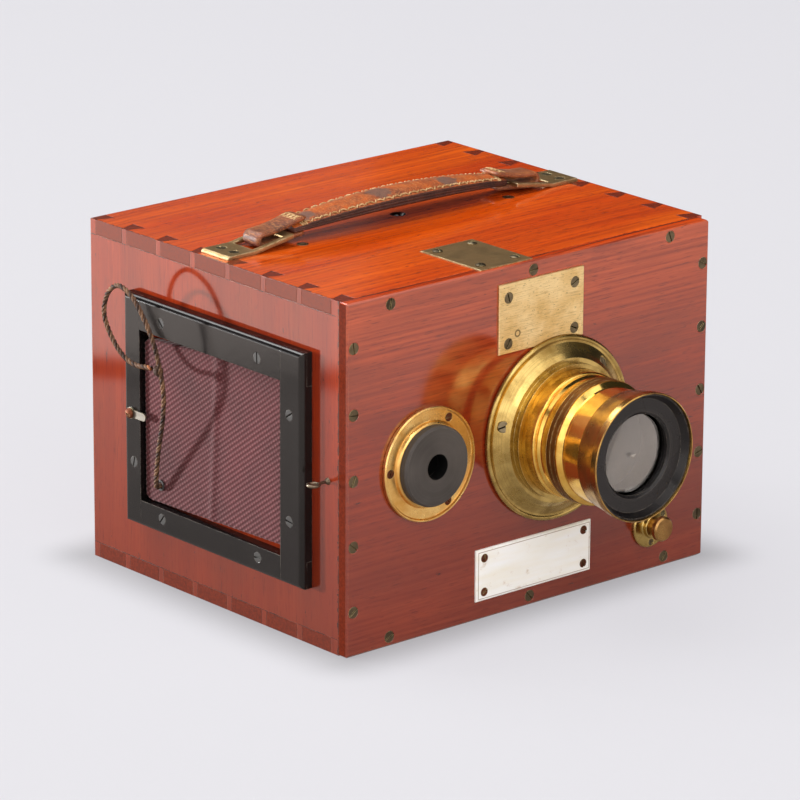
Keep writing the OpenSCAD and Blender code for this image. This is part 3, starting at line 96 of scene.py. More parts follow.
def smooth_path(places, steps):
    """Points in metres on a smooth curve through the places, given in millimetres."""
    ends = [Vector(p) * MM for p in places]
    made = []
    for i in range(len(ends) - 1):
        a, b = ends[max(i - 1, 0)], ends[i]
        c, d = ends[i + 1], ends[min(i + 2, len(ends) - 1)]
        for k in range(steps):
            t = k / steps
            made.append(0.5 * (
                2 * b + (c - a) * t + (2 * a - 5 * b + 4 * c - d) * t * t
                + (3 * b - a - 3 * c + d) * t ** 3
            ))
    return made + [ends[-1]]


def heading(path, i):
    """Direction of a path at one of its points."""
    return (path[min(i + 1, len(path) - 1)] - path[max(i - 1, 0)]).normalized()


def path_frames(path):
    """Direction, side and third axis at each point of a path, without twist."""
    first_side = Vector((0, 0.3, 1))
    made = []
    side = None
    for i in range(len(path)):
        ahead = heading(path, i)
        if side is None:
            side = ahead.cross(first_side).normalized()
        side = (side - ahead * ahead.dot(side)).normalized()
        made.append((ahead, side, ahead.cross(side)))
    return made


def new_piece(name, build, *materials, smooth=True):
    """A mesh object filled by build(bm), with its materials."""
    mesh = bpy.data.meshes.new(name)
    bm = bmesh.new()
    build(bm)
    bmesh.ops.recalc_face_normals(bm, faces=bm.faces)
    bm.to_mesh(mesh)
    bm.free()
    for made in materials:
        mesh.materials.append(made)
    for face in mesh.polygons:
        face.use_smooth = smooth
    piece = bpy.data.objects.new(name, mesh)
    bpy.context.scene.collection.objects.link(piece)
    return piece


def loft(bm, rings, material=0):
    """Faces over rings of the same number of points, closed at both ends."""
    rows = [[bm.verts.new(p) for p in ring] for ring in rings]
    count = len(rows[0])
    for a, b in zip(rows, rows[1:]):
        for j in range(count):
            face = bm.faces.new((a[j], a[(j + 1) % count], b[(j + 1) % count], b[j]))
            face.material_index = material
    for row in (rows[0], rows[-1]):
        bm.faces.new(row).material_index = material


def ring_round(centre, side, other, radius, count):
    """Points of a circle about a centre."""
    return [
        centre + side * radius * math.cos(2 * math.pi * k / count)
        + other * radius * math.sin(2 * math.pi * k / count)
        for k in range(count)
    ]


def put(tree, kind, inputs, **settings):
    """A shader node with its settings, its inputs linked or set."""
    made = tree.nodes.new("ShaderNode" + kind)
    for name, value in settings.items():
        setattr(made, name, value)
    for socket, value in inputs.items():
        if isinstance(value, bpy.types.NodeSocket):
            tree.links.new(value, made.inputs[socket])
        else:
            made.inputs[socket].default_value = value
    return made


def sums(tree, operation, a, b=0.0):
    """Result of a sum on two values."""
    return put(tree, "Math", {0: a, 1: b}, operation=operation).outputs[0]


def spread(tree, value, low, high, to_low=0.0, to_high=1.0):
    """A value moved from one range to another, and held inside it."""
    limits = {"From Min": low, "From Max": high, "To Min": to_low, "To Max": to_high}
    return put(tree, "MapRange", {"Value": value, **limits}).outputs[0]


def blended(tree, share, a, b):
    """A colour between two colours."""
    return put(tree, "Mix", {0: share, 6: a, 7: b}, data_type="RGBA").outputs[2]


def speckle(tree, where, scale, detail=2.0, rough=0.5):
    """Plain noise over a place."""
    inputs = {"Vector": where, "Scale": scale, "Detail": detail, "Roughness": rough}
    return put(tree, "TexNoise", inputs).outputs[0]


def stretched(tree, where, scale, turn=(0, 0, 0)):
    """A place drawn out by its own scale on each axis, after a turn."""
    return put(tree, "Mapping", {"Vector": where, "Rotation": turn, "Scale": scale}).outputs[0]


def raised(tree, height, distance, strength=1.0, normal=None):
    """Surface normal of a height in metres."""
    inputs = {"Height": height, "Distance": distance, "Strength": strength}
    if normal is not None:
        inputs["Normal"] = normal
    return put(tree, "Bump", inputs).outputs[0]


def rgb(red, green, blue):
    """A colour from values of 0 to 255 as the eye sees them."""
    def straight(value):
        value /= 255
        return value / 12.92 if value <= 0.04045 else ((value + 0.055) / 1.055) ** 2.4
    return (straight(red), straight(green), straight(blue), 1.0)


def new_material(name, **plain):
    """A material, its tree, its shader and its place; plain values go on the shader's sockets."""
    made = bpy.data.materials.new(name)
    made.use_nodes = True
    tree = made.node_tree
    shader = tree.nodes["Principled BSDF"]
    for socket, value in plain.items():
        shader.inputs[socket.replace("_", " ")].default_value = value
    where = tree.nodes.new("ShaderNodeTexCoord").outputs["Object"]
    return made, tree, shader, where


def cord_thread(name, dark, light):
    """Silk or linen thread: fine fibres across a soft sheen, faded and soiled in places."""
    made, tree, shader, where = new_material(name, Roughness=0.62, Specular_IOR_Level=0.25)
    fibres = speckle(tree, where, 2600, 3, 0.7)
    faded = spread(tree, speckle(tree, where, 160), 0.35, 0.65)
    colour = blended(tree, faded, dark, light)
    colour = blended(tree, spread(tree, fibres, 0.35, 0.6, 0.55, 0.0), colour, rgb(20, 10, 6))
    tree.links.new(colour, shader.inputs["Base Color"])
    tree.links.new(raised(tree, fibres, 0.00012, 0.8), shader.inputs["Normal"])
    return made


silk_brown = cord_thread("silk_brown", rgb(40, 24, 16), rgb(70, 46, 32))
silk_tan = cord_thread("silk_tan", rgb(74, 50, 36), rgb(132, 98, 70))
silk_frayed = cord_thread("silk_frayed", rgb(150, 84, 40), rgb(196, 132, 74))
frayed_rings = 15
cord_path = smooth_path(cord_places, cord_steps)
cord_frames = path_frames(cord_path)


def twisted_cord(bm):
    """Strands that wind round the cord's line and touch each other."""
    offset = cord_d / 2 - strand_r
    for strand in range(cord_strands):
        rings = []
        along = 0.0
        for i, (p, (ahead, side, other)) in enumerate(zip(cord_path, cord_frames)):
            if i:
                along += (p - cord_path[i - 1]).length
            turn = 2 * math.pi * (along / (cord_twist * MM) + strand / cord_strands)
            out = side * math.cos(turn) + other * math.sin(turn)
            across = ahead.cross(out)
            rings.append(ring_round(p + out * offset * MM, out, across, strand_r * MM, strand_sides))
        ordinary = len(rings) - (frayed_rings if strand == 1 else 0)
        loft(bm, rings[:ordinary], material=1 if strand else 0)
        if strand == 1:
            loft(bm, rings[ordinary - 1:], material=2)


cord = new_piece("flap_cord", twisted_cord, silk_brown, silk_tan, silk_frayed)
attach(cord, "flap")
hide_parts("cord")

knot_middle = Vector((-119.1, 16.6, 103.3)) * MM
knot_turns = 2
knot_r, knot_rise, knot_strand_r = 1.3, 1.45, 0.85
knot_lean, knot_shift = 0.5, 0.2
silk_dark = cord_thread("silk_dark", rgb(38, 22, 15), rgb(70, 42, 28))


def tied_knot(bm):
    """Knot: turns of the strands round the standing part, drawn tight."""
    steps, sides = 40, 10
    aside = Vector((0, 1, 0))
    for turn in range(knot_turns):
        rings = []
        for k in range(steps + 1):
            a = 2 * math.pi * k / steps
            lean = knot_lean * math.sin(a + turn)
            middle = Vector((
                math.cos(a) * knot_r,
                (turn - 0.5) * knot_r + lean,
                math.sin(a) * knot_rise + knot_shift * turn,
            )) * MM
            out = Vector((math.cos(a), 0, math.sin(a)))
            rings.append(ring_round(knot_middle + middle, out, aside, knot_strand_r * MM, sides))
        loft(bm, rings, material=turn)


knot = new_piece("cord_end_knot", tied_knot, silk_brown, silk_dark)
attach(knot, "flap")
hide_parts("cord_knot")


# Floor and light: a sweep of pale paper, lit by four soft lights and also glowing, with white cards
# round it that the polish mirrors. The paper's glow carries painted shade: for the camera it is
# dimmed close round the case as a painted shadow, and in what the polish mirrors it is dimmed more
# widely round the case and made warmer. On the left the polish mirrors a painted dark band in that
# glow, standing in for the edge of a table, and a painted brighter glow past it. The room behind
# stays dark, so the top keeps its colour.

case_half = (0.1015, 0.0845, 0)
shadow = {"From Min": -0.008, "From Max": 0.034, "To Min": 0.37, "To Max": 0.66}
painted_band_from, painted_band_to = 0.385, 0.42
painted_glow_past_band = 1.58
paper_base, painted_band_base = (0.11, 0.11, 0.11, 1), (0.01, 0.01, 0.01, 1)
paper_seen, paper_mirrored = (0.95, 0.94, 1.0, 1), (1.0, 0.86, 0.78, 1)
room_dark = (0.03, 0.03, 0.033, 1)
paper_reach = 6


def vectors(tree, operation, a, b=(0, 0, 0)):
    """Result of a sum on two places: a number for a length, distance or dot product, else a place."""
    made = put(tree, "VectorMath", {0: a, 1: b}, operation=operation).outputs
    return made["Value" if operation in ("LENGTH", "DISTANCE", "DOT_PRODUCT") else "Vector"]


def between(tree, share, a, b):
    """A value between two values."""
    return put(tree, "Mix", {0: share, 2: a, 3: b}).outputs[0]


floor_paper, tree, shader, where = new_material("floor_paper", Roughness=0.9, Specular_IOR_Level=0.0)
off_case = vectors(tree, "SUBTRACT", vectors(tree, "ABSOLUTE", where), case_half)
off_case = vectors(tree, "LENGTH", vectors(tree, "MAXIMUM", off_case))
# Painted shadow: for the camera, the paper's glow is dimmed close round the case's footprint.
shade = put(tree, "MapRange", {"Value": off_case, **shadow}, interpolation_type="SMOOTHERSTEP").outputs[0]
off_left = vectors(tree, "DOT_PRODUCT", where, -level)
# Painted dark band on the left, seen only in what the polish mirrors, with a painted brighter glow past it.
past_edge = spread(tree, off_left, painted_band_from - 0.001, painted_band_from + 0.001)
past_dark = spread(tree, off_left, painted_band_to - 0.002, painted_band_to + 0.002)
# Painted shade: what the polish mirrors of the paper glows dimmer near the case.
mirrored = spread(tree, off_case, 0.01, 0.27, 0.3, 0.78)
mirrored = between(tree, past_edge, mirrored, 0.0)
mirrored = between(tree, past_dark, mirrored, painted_glow_past_band)
seen = tree.nodes.new("ShaderNodeLightPath").outputs["Is Camera Ray"]
tree.links.new(between(tree, seen, mirrored, shade), shader.inputs["Emission Strength"])
# Painted reflection: the paper glows warmer in what the polish mirrors than for the camera.
tree.links.new(blended(tree, seen, paper_mirrored, paper_seen), shader.inputs["Emission Color"])
painted_band_mask = sums(tree, "MULTIPLY", past_edge, spread(tree, past_dark, 0, 1, 1, 0))
painted_band_mask = sums(tree, "MULTIPLY", painted_band_mask, spread(tree, seen, 0, 1, 1, 0))
tree.links.new(blended(tree, painted_band_mask, paper_base, painted_band_base), shader.inputs["Base Color"])


def floor_sheet(bm):
    """Sheet of paper that the case stands on."""
    bmesh.ops.create_grid(bm, x_segments=8, y_segments=8, size=paper_reach)


floor = new_piece("floor", floor_sheet, floor_paper)

world = bpy.data.worlds.new("room")
world.use_nodes = True
world.node_tree.nodes["Background"].inputs["Color"].default_value = room_dark
bpy.context.scene.world = world
bpy.context.scene.view_settings.view_transform = "Standard"


def soft_light(name, place, aim, width, height, power):
    """Rectangular soft light at a place, turned towards another."""
    lamp = bpy.data.lights.new(name, "AREA")
    lamp.shape = "RECTANGLE"
    lamp.size, lamp.size_y = width, height
    lamp.energy = power
    made = bpy.data.objects.new(name, lamp)
    made.location = place
    made.rotation_euler = (Vector(aim) - Vector(place)).to_track_quat("-Z", "Y").to_euler()
    bpy.context.scene.collection.objects.link(made)


soft_light("light_above", (-0.6, 0.9, 2.5), (0, 0, 0), 2.2, 2.2, 86)
soft_light("light_low", (-1.15, 1.8, 0.09), (-0.1, 0, 0.08), 0.1, 0.08, 74)
soft_light("light_barrel", (-0.22, 1.33, 1.45), (0.02, -0.11, 0.09), 0.8, 0.6, 6)
soft_light("light_front", (-1.1, -2.6, 1.9), (0, 0, 0.05), 1.5, 1.2, 14)

card_top = 2.6
above_plan = [(-2.2, -2.9), (2.2, -2.9), (2.2, -0.7), (-2.2, -0.7)]
behind_at, behind_way = Vector((0.655, 0.755)) * 2.8, Vector((-0.755, 0.655))


def hung_over(start, end, low, high):
    """Corners of an upright card over the line from start to end, between two heights."""
    return [(*start, low), (*end, low), (*end, high), (*start, high)]


def studio_card(name, corners, paint):
    """Card outside the picture, which the polish mirrors."""
    def build(bm):
        bm.faces.new([bm.verts.new(p) for p in corners])
    new_piece(name, build, paint)


white_card = new_material(
    "white_card", Roughness=0.9, Emission_Color=(1.0, 0.92, 0.86, 1), Emission_Strength=0.62,
)[0]
dim_card = new_material(
    "dim_card", Roughness=0.9, Base_Color=(0.02, 0.02, 0.02, 1),
    Emission_Color=(1.0, 0.96, 0.95, 1), Emission_Strength=0.1,
)[0]
studio_card("card_front", hung_over((-3.2, -3.1), (3.0, -3.1), 0, card_top), white_card)
studio_card("card_left", hung_over((-3.2, -3.1), (-3.2, 1.2), 0, card_top), white_card)
studio_card("card_above", [(x, y, card_top) for x, y in above_plan], white_card)
behind_corners = hung_over(behind_at + behind_way * 0.03, behind_at + behind_way * 1.1, 0.7, 1.5)
studio_card("card_behind", behind_corners, dim_card)


# Case: boards of mahogany, stained red and French polished, joined by dovetails and closed by an
# overlaid front and a hinged back door. The polish has gone hazy, and it is rubbed through along
# the edges, where the lighter arrises are partly worn polish and partly a painted highlight.


def streaks(tree, where, scale, detail=2.0, rough=0.5):
    """Noise drawn out by its own scale on each axis."""
    return speckle(tree, stretched(tree, where, scale), 1.0, detail, rough)


def shader_group(name, inputs, outputs):
    """An empty shader group with named inputs and outputs."""
    made = bpy.data.node_groups.new(name, "ShaderNodeTree")
    for title, kind, value in inputs:
        made.interface.new_socket(title, in_out="INPUT", socket_type="NodeSocket" + kind)
        if value is not None:
            made.interface.items_tree[title].default_value = value
    for title, kind in outputs:
        made.interface.new_socket(title, in_out="OUTPUT", socket_type="NodeSocket" + kind)
    given = made.nodes.new("NodeGroupInput").outputs
    return made, given, made.nodes.new("NodeGroupOutput").inputs


def place_group(tree, made, inputs):
    """A group placed in a tree, with its own values."""
    return put(tree, "Group", inputs, node_tree=made).outputs


grain_group, given, result = shader_group(
    "mahogany_grain",
    [("Place", "Vector", None), ("Seed", "Float", 0.0)],
    [("Figure", "Float"), ("Lines", "Float"), ("Pores", "Float")],
)
moved = put(grain_group, "CombineXYZ", {0: given["Seed"], 1: given["Seed"], 2: 0.0}).outputs[0]
placed = vectors(grain_group, "ADD", given["Place"], moved)
bent = sums(grain_group, "MULTIPLY", streaks(grain_group, placed, (3, 14, 14)), 0.02)
sway = put(grain_group, "CombineXYZ", {0: 0.0, 1: bent, 2: 0.0}).outputs[0]
placed = vectors(grain_group, "ADD", placed, sway)
figure = streaks(grain_group, placed, (5, 60, 60), 3)
lines = streaks(grain_group, placed, (9, 640, 640), 4, 0.6)
pores = streaks(grain_group, placed, (130, 2400, 2400), 1)
grain_group.links.new(spread(grain_group, figure, 0.3, 0.7), result["Figure"])
grain_group.links.new(spread(grain_group, lines, 0.36, 0.66), result["Lines"])
grain_group.links.new(spread(grain_group, pores, 0.62, 0.7), result["Pores"])

# Patchy mask of the edges; the materials recolour it as partly wear and partly painted highlight.
edge_group, given, result = shader_group(
    "worn_and_highlit_edges",
    [("Place", "Vector", None), ("Reach", "Float", 0.0006), ("Patchy", "Float", 90.0)],
    [("Mask", "Float"), ("Rounded", "Vector")],
)
rounded = put(edge_group, "Bevel", {"Radius": given["Reach"]}, samples=4).outputs[0]
flat = edge_group.nodes.new("ShaderNodeNewGeometry").outputs["True Normal"]
edge = spread(edge_group, vectors(edge_group, "DOT_PRODUCT", rounded, flat), 0.995, 0.85)
patches = spread(edge_group, speckle(edge_group, given["Place"], given["Patchy"], 3, 0.65), 0.4, 0.6)
edge_group.links.new(sums(edge_group, "MULTIPLY", edge, patches), result["Mask"])
edge_group.links.new(rounded, result["Rounded"])

wood_light = rgb(192, 68, 14)
wood_red = rgb(166, 50, 12)
wood_line = rgb(104, 26, 12)
wood_pore = rgb(70, 16, 10)
wood_end = rgb(150, 64, 38)
wood_worn_and_highlit = rgb(196, 120, 84)
wood_brown = rgb(122, 44, 22)
wood_dent = rgb(52, 20, 14)
top_light = rgb(226, 98, 12)
top_red = rgb(194, 68, 8)
seam_dark = rgb(46, 16, 10)
painted_hole_shade = rgb(16, 8, 6)
grain_ways = {"X": ((0, 0, 0), (1, 0, 0)), "Z": ((0, math.pi / 2, 0), (0, 0, 1))}
painted_light_band, painted_shade_band = (0.09, 0.152), (0.0, 0.1)
wood_arris = 0.0007


def mahogany(name, along, seed, light=wood_light, red=wood_red, end=wood_end, stained=wood_brown,
             upper=None, high=None, low=None, polish=0.05, end_polish=0.6, marked=0.4, seams=(), hole=None):
    """Polished mahogany with its grain along one axis, and end grain on the faces across it.

    A seam is a dark line: an axis, a place on it and a breadth. A hole is a middle and a radius,
    inside which the wood is painted dark as shade. High and low colour a lighter upper band and a
    darker lower band, as painted light and shade from above; upper colours faces turned upward, as
    painted light. The lighter edges are partly worn polish and partly a painted highlight.
    """
    made, tree, shader, where = new_material(
        name, Roughness=0.5, Specular_IOR_Level=0.0, Coat_Weight=1.0, Coat_Roughness=polish, Coat_IOR=1.75,
    )
    turn, grain_way = grain_ways[along]
    placed = stretched(tree, where, (1, 1, 1), turn)
    apart = put(tree, "SeparateXYZ", {0: where}).outputs
    normal = tree.nodes.new("ShaderNodeTexCoord").outputs["Normal"]
    grain = place_group(tree, grain_group, {"Place": placed, "Seed": seed})
    edges = place_group(tree, edge_group, {"Place": where, "Reach": wood_arris, "Patchy": 120.0})
    colour = blended(tree, grain["Figure"], light, red)
    # Painted light: the upper band is lighter, as if lit more from above.
    if high is not None:
        colour = blended(tree, spread(tree, apart["Z"], *painted_light_band, 0.0, 0.75), colour, high)
    # Painted shade: the lower band is darker, as if shaded near the floor.
    if low is not None:
        colour = blended(tree, spread(tree, apart["Z"], *painted_shade_band, 0.6, 0.0), colour, low)
    stain = streaks(tree, placed, (7, 22, 22), 3, 0.6)
    colour = blended(tree, spread(tree, stain, 0.42, 0.7, 0.0, 0.75), colour, stained)
    colour = blended(tree, sums(tree, "MULTIPLY", grain["Lines"], marked), colour, wood_line)
    colour = blended(tree, sums(tree, "MULTIPLY", grain["Pores"], 0.5), colour, wood_pore)
    dents = streaks(tree, placed, (90, 420, 420), 3, 0.75)
    colour = blended(tree, spread(tree, dents, 0.68, 0.73, 0.0, 0.7), colour, wood_dent)
    ragged = speckle(tree, where, 420, 3, 0.7)
    for axis, place, breadth in seams:
        off = sums(tree, "ABSOLUTE", sums(tree, "SUBTRACT", apart[axis], place))
        off = sums(tree, "ADD", off, spread(tree, ragged, 0.35, 0.65, 0.0, breadth * 0.9))
        colour = blended(tree, spread(tree, off, breadth * 0.8, breadth, 0.85, 0.0), colour, seam_dark)
    # Painted light: faces turned upward take the top board's brighter colour.
    if upper is not None:
        lifted = spread(tree, vectors(tree, "DOT_PRODUCT", normal, (0, 0, 1)), 0.6, 0.9)
        colour = blended(tree, lifted, colour, blended(tree, grain["Lines"], upper, wood_line))
    facing = sums(tree, "ABSOLUTE", vectors(tree, "DOT_PRODUCT", normal, grain_way))
    across = spread(tree, facing, 0.8, 0.95)
    fibres = speckle(tree, where, 900, 3, 0.7)
    colour = blended(tree, across, colour, blended(tree, fibres, end, wood_brown))
    # Edges: lighter on long grain, darker on end grain; partly rubbed polish, partly painted highlight.
    worn = blended(tree, across, wood_worn_and_highlit, wood_pore)
    colour = blended(tree, sums(tree, "MULTIPLY", edges["Mask"], 0.4), colour, worn)
    # Painted shade: inside the hole the wood is painted near-black.
    if hole is not None:
        middle, hole_r = hole
        off = vectors(tree, "MULTIPLY", vectors(tree, "SUBTRACT", where, middle), (1, 1, 0))
        inside = spread(tree, vectors(tree, "LENGTH", off), hole_r, hole_r * 1.06, 1.0, 0.0)
        colour = blended(tree, inside, colour, painted_hole_shade)
    tree.links.new(colour, shader.inputs["Base Color"])
    tree.links.new(spread(tree, across, 0, 1, 1.0, end_polish), shader.inputs["Coat Weight"])
    waves = speckle(tree, where, 22, 2)
    ripple = raised(tree, waves, 0.00025, 0.5, edges["Rounded"])
    tree.links.new(raised(tree, grain["Pores"], -0.00002, 0.35, ripple), shader.inputs["Normal"])
    rounded = put(tree, "Bevel", {"Radius": wood_arris}, samples=4).outputs[0]
    tree.links.new(raised(tree, waves, 0.00012, 0.5, rounded), shader.inputs["Coat Normal"])
    return made


def finish_with(made, *names):
    """Puts a material on CAD nodes."""
    for name in names:
        mesh = cad[name].data
        mesh.materials.clear()
        mesh.materials.append(made)


finish_with(mahogany(
    "mahogany_top", "X", 0.0, top_light, top_red, end=rgb(78, 42, 34), stained=rgb(186, 60, 10),
    polish=0.13, marked=0.5, seams=[("X", -0.1012, 0.0008), ("Y", -0.0797, 0.0008)],
    hole=((3.2 * MM, 5.4 * MM, 0), 3.3 * MM),
), "top_board")
finish_with(mahogany("mahogany_base", "X", 0.7, end=rgb(44, 20, 17)), "bottom_board")
# The left side's lower band is painted darker, as painted shade near the floor.
finish_with(mahogany(
    "mahogany_left", "Z", 1.3, rgb(144, 48, 14), rgb(118, 34, 10), end=rgb(78, 32, 22),
    stained=rgb(92, 36, 20), low=rgb(92, 38, 22), polish=0.09, marked=0.5,
    seams=[("Y", -0.0795, 0.0012), ("Z", 0.1454, 0.0003), ("Z", 0.0067, 0.0003)],
), "left_side_board")
finish_with(mahogany("mahogany_right", "Z", 2.1, end=rgb(78, 32, 22)), "right_side_board")
# The front's upper band is painted lighter and its lower band darker, as painted light and shade.
finish_with(mahogany(
    "mahogany_front", "X", 3.4, rgb(152, 48, 10), rgb(112, 29, 6), end=rgb(34, 14, 12),
    stained=rgb(96, 30, 14), upper=top_red, high=rgb(198, 86, 42), low=rgb(122, 52, 36),
    polish=0.1, end_polish=0.12, marked=0.65,
), "front_panel")
finish_with(mahogany("mahogany_door", "X", 4.2), "back_door")
finish_with(mahogany("mahogany_inside", "X", 5.0, polish=0.3), "partition", "plate_trough")


# Brass: turned, polished and lacquered for the lens and the finder, and cut from sheet for the
# plates, brackets and hinges. Age has browned it in patches and specks. A few small screws, the
# turn-button and the screw-eye are of iron and steel.

edge_gold_wear_and_highlight = rgb(244, 224, 164)
turned_group, given, result = shader_group(
    "turned_rings",
    [("Place", "Vector", None), ("Middle", "Vector", None)],
    [("Rings", "Float"), ("Reach", "Float")],
)
off_axis = vectors(turned_group, "SUBTRACT", given["Place"], given["Middle"])
along_axis = put(turned_group, "SeparateXYZ", {0: off_axis}).outputs["Y"]
reach = vectors(turned_group, "LENGTH", vectors(turned_group, "MULTIPLY", off_axis, (1, 0, 1)))
reach_along = put(turned_group, "CombineXYZ", {0: reach, 1: along_axis, 2: 0.0}).outputs[0]
turned_group.links.new(speckle(turned_group, reach_along, 1600, 3, 0.7), result["Rings"])
turned_group.links.new(reach, result["Reach"])
lens_x, lens_z = 13.5, 76.5
lens_axis = (lens_x * MM, 0, lens_z * MM)
finder_axis = (-58 * MM, 0, 75.5 * MM)
rub_depth = 0.25


def brass(name, bright, dull, rough, spots=0.3, spot_colour=rgb(60, 40, 22), turned_about=None,
          edge=edge_gold_wear_and_highlight, reach=0.00025):
    """Brass, iron or steel with fine turning or rubbing marks, dull patches and dark specks. Its
    edges take the edge colour, which where lighter is partly worn metal and partly a painted highlight.
    """
    made, tree, shader, where = new_material(name, Metallic=1.0)
    edges = place_group(tree, edge_group, {"Place": where, "Reach": reach, "Patchy": 400.0})
    patches = spread(tree, speckle(tree, where, 90, 4, 0.6), 0.35, 0.68)
    colour = blended(tree, patches, bright, dull)
    specks = spread(tree, speckle(tree, where, 700, 3, 0.6), 0.66, 0.74)
    colour = blended(tree, sums(tree, "MULTIPLY", specks, spots), colour, spot_colour)
    if turned_about:
        fine = place_group(tree, turned_group, {"Place": where, "Middle": turned_about})["Rings"]
        colour = blended(tree, spread(tree, fine, 0.5, 0.7, 0.0, 0.45), colour, dull)
    else:
        fine = streaks(tree, where, (300, 3000, 3000))
    # Edges recoloured: where lighter, partly bright worn metal and partly painted highlight.
    colour = blended(tree, sums(tree, "MULTIPLY", edges["Mask"], 0.7), colour, edge)
    tree.links.new(colour, shader.inputs["Base Color"])
    tarnish = sums(tree, "ADD", patches, sums(tree, "MULTIPLY", fine, rub_depth))
    tree.links.new(spread(tree, tarnish, 0, 1.4, rough, rough + 0.22), shader.inputs["Roughness"])
    tree.links.new(raised(tree, fine, 0.00001, rub_depth, edges["Rounded"]), shader.inputs["Normal"])
    return made


lens_gold = brass("lens_gold", rgb(246, 208, 114), rgb(210, 158, 64), 0.08, turned_about=lens_axis)
flange_brass = brass(
    "flange_brass", rgb(206, 180, 112), rgb(146, 118, 62), 0.16, 0.5, turned_about=lens_axis,
)
finder_gold = brass(
    "finder_gold", rgb(250, 214, 140), rgb(216, 164, 84), 0.2, 0.7, rgb(96, 60, 34),
    turned_about=finder_axis,
)
hood_brass = brass(
    "hood_brass", rgb(206, 166, 88), rgb(112, 82, 58), 0.14, 0.7, rgb(48, 28, 28),
    turned_about=lens_axis, edge=rgb(150, 112, 92),
)
button_brass = brass("button_brass", rgb(186, 146, 88), rgb(128, 90, 58), 0.22, 0.6)
ring_bronze = brass("ring_bronze", rgb(128, 88, 44), rgb(96, 62, 32), 0.42, 0.4)
plate_brass = brass("plate_brass", rgb(246, 222, 168), rgb(226, 194, 132), 0.36, 0.7)
dull_brass = brass("dull_brass", rgb(116, 104, 82), rgb(70, 62, 50), 0.34, 0.5)
olive_brass = brass(
    "olive_brass", rgb(184, 154, 108), rgb(144, 116, 80), 0.36, 0.5, edge=rgb(255, 242, 196), reach=0.0009,
)
iron_red = brass("iron_red", rgb(120, 72, 52), rgb(76, 40, 30), 0.5, 0.5)
steel = brass("steel", rgb(126, 122, 114), rgb(84, 78, 70), 0.4, 0.5)
dark_steel = brass("dark_steel", rgb(120, 108, 92), rgb(58, 44, 36), 0.34, 0.6)
plug_at = (-9.5 * MM, -85.5 * MM, 122.3 * MM)
plug_r = 1.3 * MM


def mark_blank_plate(plate):
    """The round line of a plugged hole, brushed streaks and bitten specks."""
    tree = plate.node_tree
    shader = tree.nodes["Principled BSDF"]
    where = tree.nodes.new("ShaderNodeTexCoord").outputs["Object"]
    colour = shader.inputs["Base Color"].links[0].from_socket
    off_line = sums(tree, "SUBTRACT", vectors(tree, "DISTANCE", where, plug_at), plug_r)
    plug = spread(tree, sums(tree, "ABSOLUTE", off_line), 0.0002, 0.0005, 0.75, 0.0)
    colour = blended(tree, plug, colour, rgb(60, 44, 26))
    brushed = streaks(tree, where, (110, 900, 2600), 3, 0.7)
    colour = blended(tree, spread(tree, brushed, 0.5, 0.72, 0.0, 0.6), colour, rgb(140, 106, 56))
    bitten = streaks(tree, where, (420, 900, 1500), 3, 0.7)
    colour = blended(tree, spread(tree, bitten, 0.6, 0.68, 0.0, 0.65), colour, rgb(84, 62, 34))
    tree.links.new(colour, shader.inputs["Base Color"])


mark_blank_plate(plate_brass)
finish_with(lens_gold, "lens_barrel", "lens_tube")
finish_with(flange_brass, "lens_flange", "release_escutcheon")
finish_with(finder_gold, "finder_flange")
finish_with(hood_brass, "lens_hood")
finish_with(button_brass, "release_button")
finish_with(ring_bronze, "iris_ring")
finish_with(plate_brass, "front_plate")
finish_with(dull_brass, "panel_screws", "fine_screws", "bracket_screws", "top_plate_screws")
finish_with(olive_brass, "handle_bracket_left", "handle_bracket_right", "top_plate")
finish_with(iron_red, "small_screws", "turn_button_screw")
finish_with(steel, "turn_button")
finish_with(dark_steel, "screw_eye")
finish_with(flange_brass, "hinge_leaves_fixed", "hinge_leaves_moving", "hinge_pins", "door_screws")
finish_with(flange_brass, "door_pull_plate", "door_pull_ring", "tripod_bush")
finish_with(flange_brass, "shutter_plate", "shutter_catch", "shutter_pivots")


# Screws of the lens flange and of the plate above it: turned brass, slotted. The three of the
# flange are sunk in its sloping face, so their heads lean outwards with it.

head_r, head_deep, head_bevel = 2.4, 1.1, 0.18
slot_w, slot_deep = 0.7, 0.7
slot_floor_r = 2.35
head_steps = 14
face_y = -84.5
flange_lean = math.radians(31)
flange_circle = 34
flange_head_out, plate_head_out = 4.15, 1.0
leaning_heads = [(167, 20), (47, 85), (287, 150)]
flat_heads = [(-14.6, 118.65, 60), (-14.6, 138.55, 108), (22.6, 118.65, 156), (22.6, 138.55, 204)]
screw_brass = brass("screw_brass", rgb(142, 130, 104), rgb(96, 84, 64), 0.42, 0.6, edge=rgb(214, 196, 150))
# The floors of the slots are in a much darker brass than the heads.
slot_floor_dark = brass("slot_floor_dark", rgb(40, 30, 20), rgb(22, 16, 11), 0.7)


def slotted_head(bm, middle, facing, turn):
    """Two halves of a screw head, with the floor of the slot between them."""
    side = facing.cross(Vector((0, 0, 1))).normalized()
    other = facing.cross(side)
    u = side * math.cos(turn) + other * math.sin(turn)
    v = facing.cross(u)
    start = math.asin(slot_w / 2 / head_r)
    angles = [start + (math.pi - 2 * start) * k / head_steps for k in range(head_steps + 1)]
    for half in (-1, 1):
        rings = []
        for depth, radius in ((head_deep, head_r), (head_bevel, head_r), (0, head_r - head_bevel)):
            rings.append([
                (middle - facing * depth + u * math.cos(a) * radius + v * half * math.sin(a) * radius) * MM
                for a in angles
            ])
        loft(bm, rings)
    floors = [middle - facing * depth for depth in (head_deep, slot_deep)]
    loft(bm, [ring_round(p * MM, u, v, slot_floor_r * MM, 24) for p in floors], material=1)


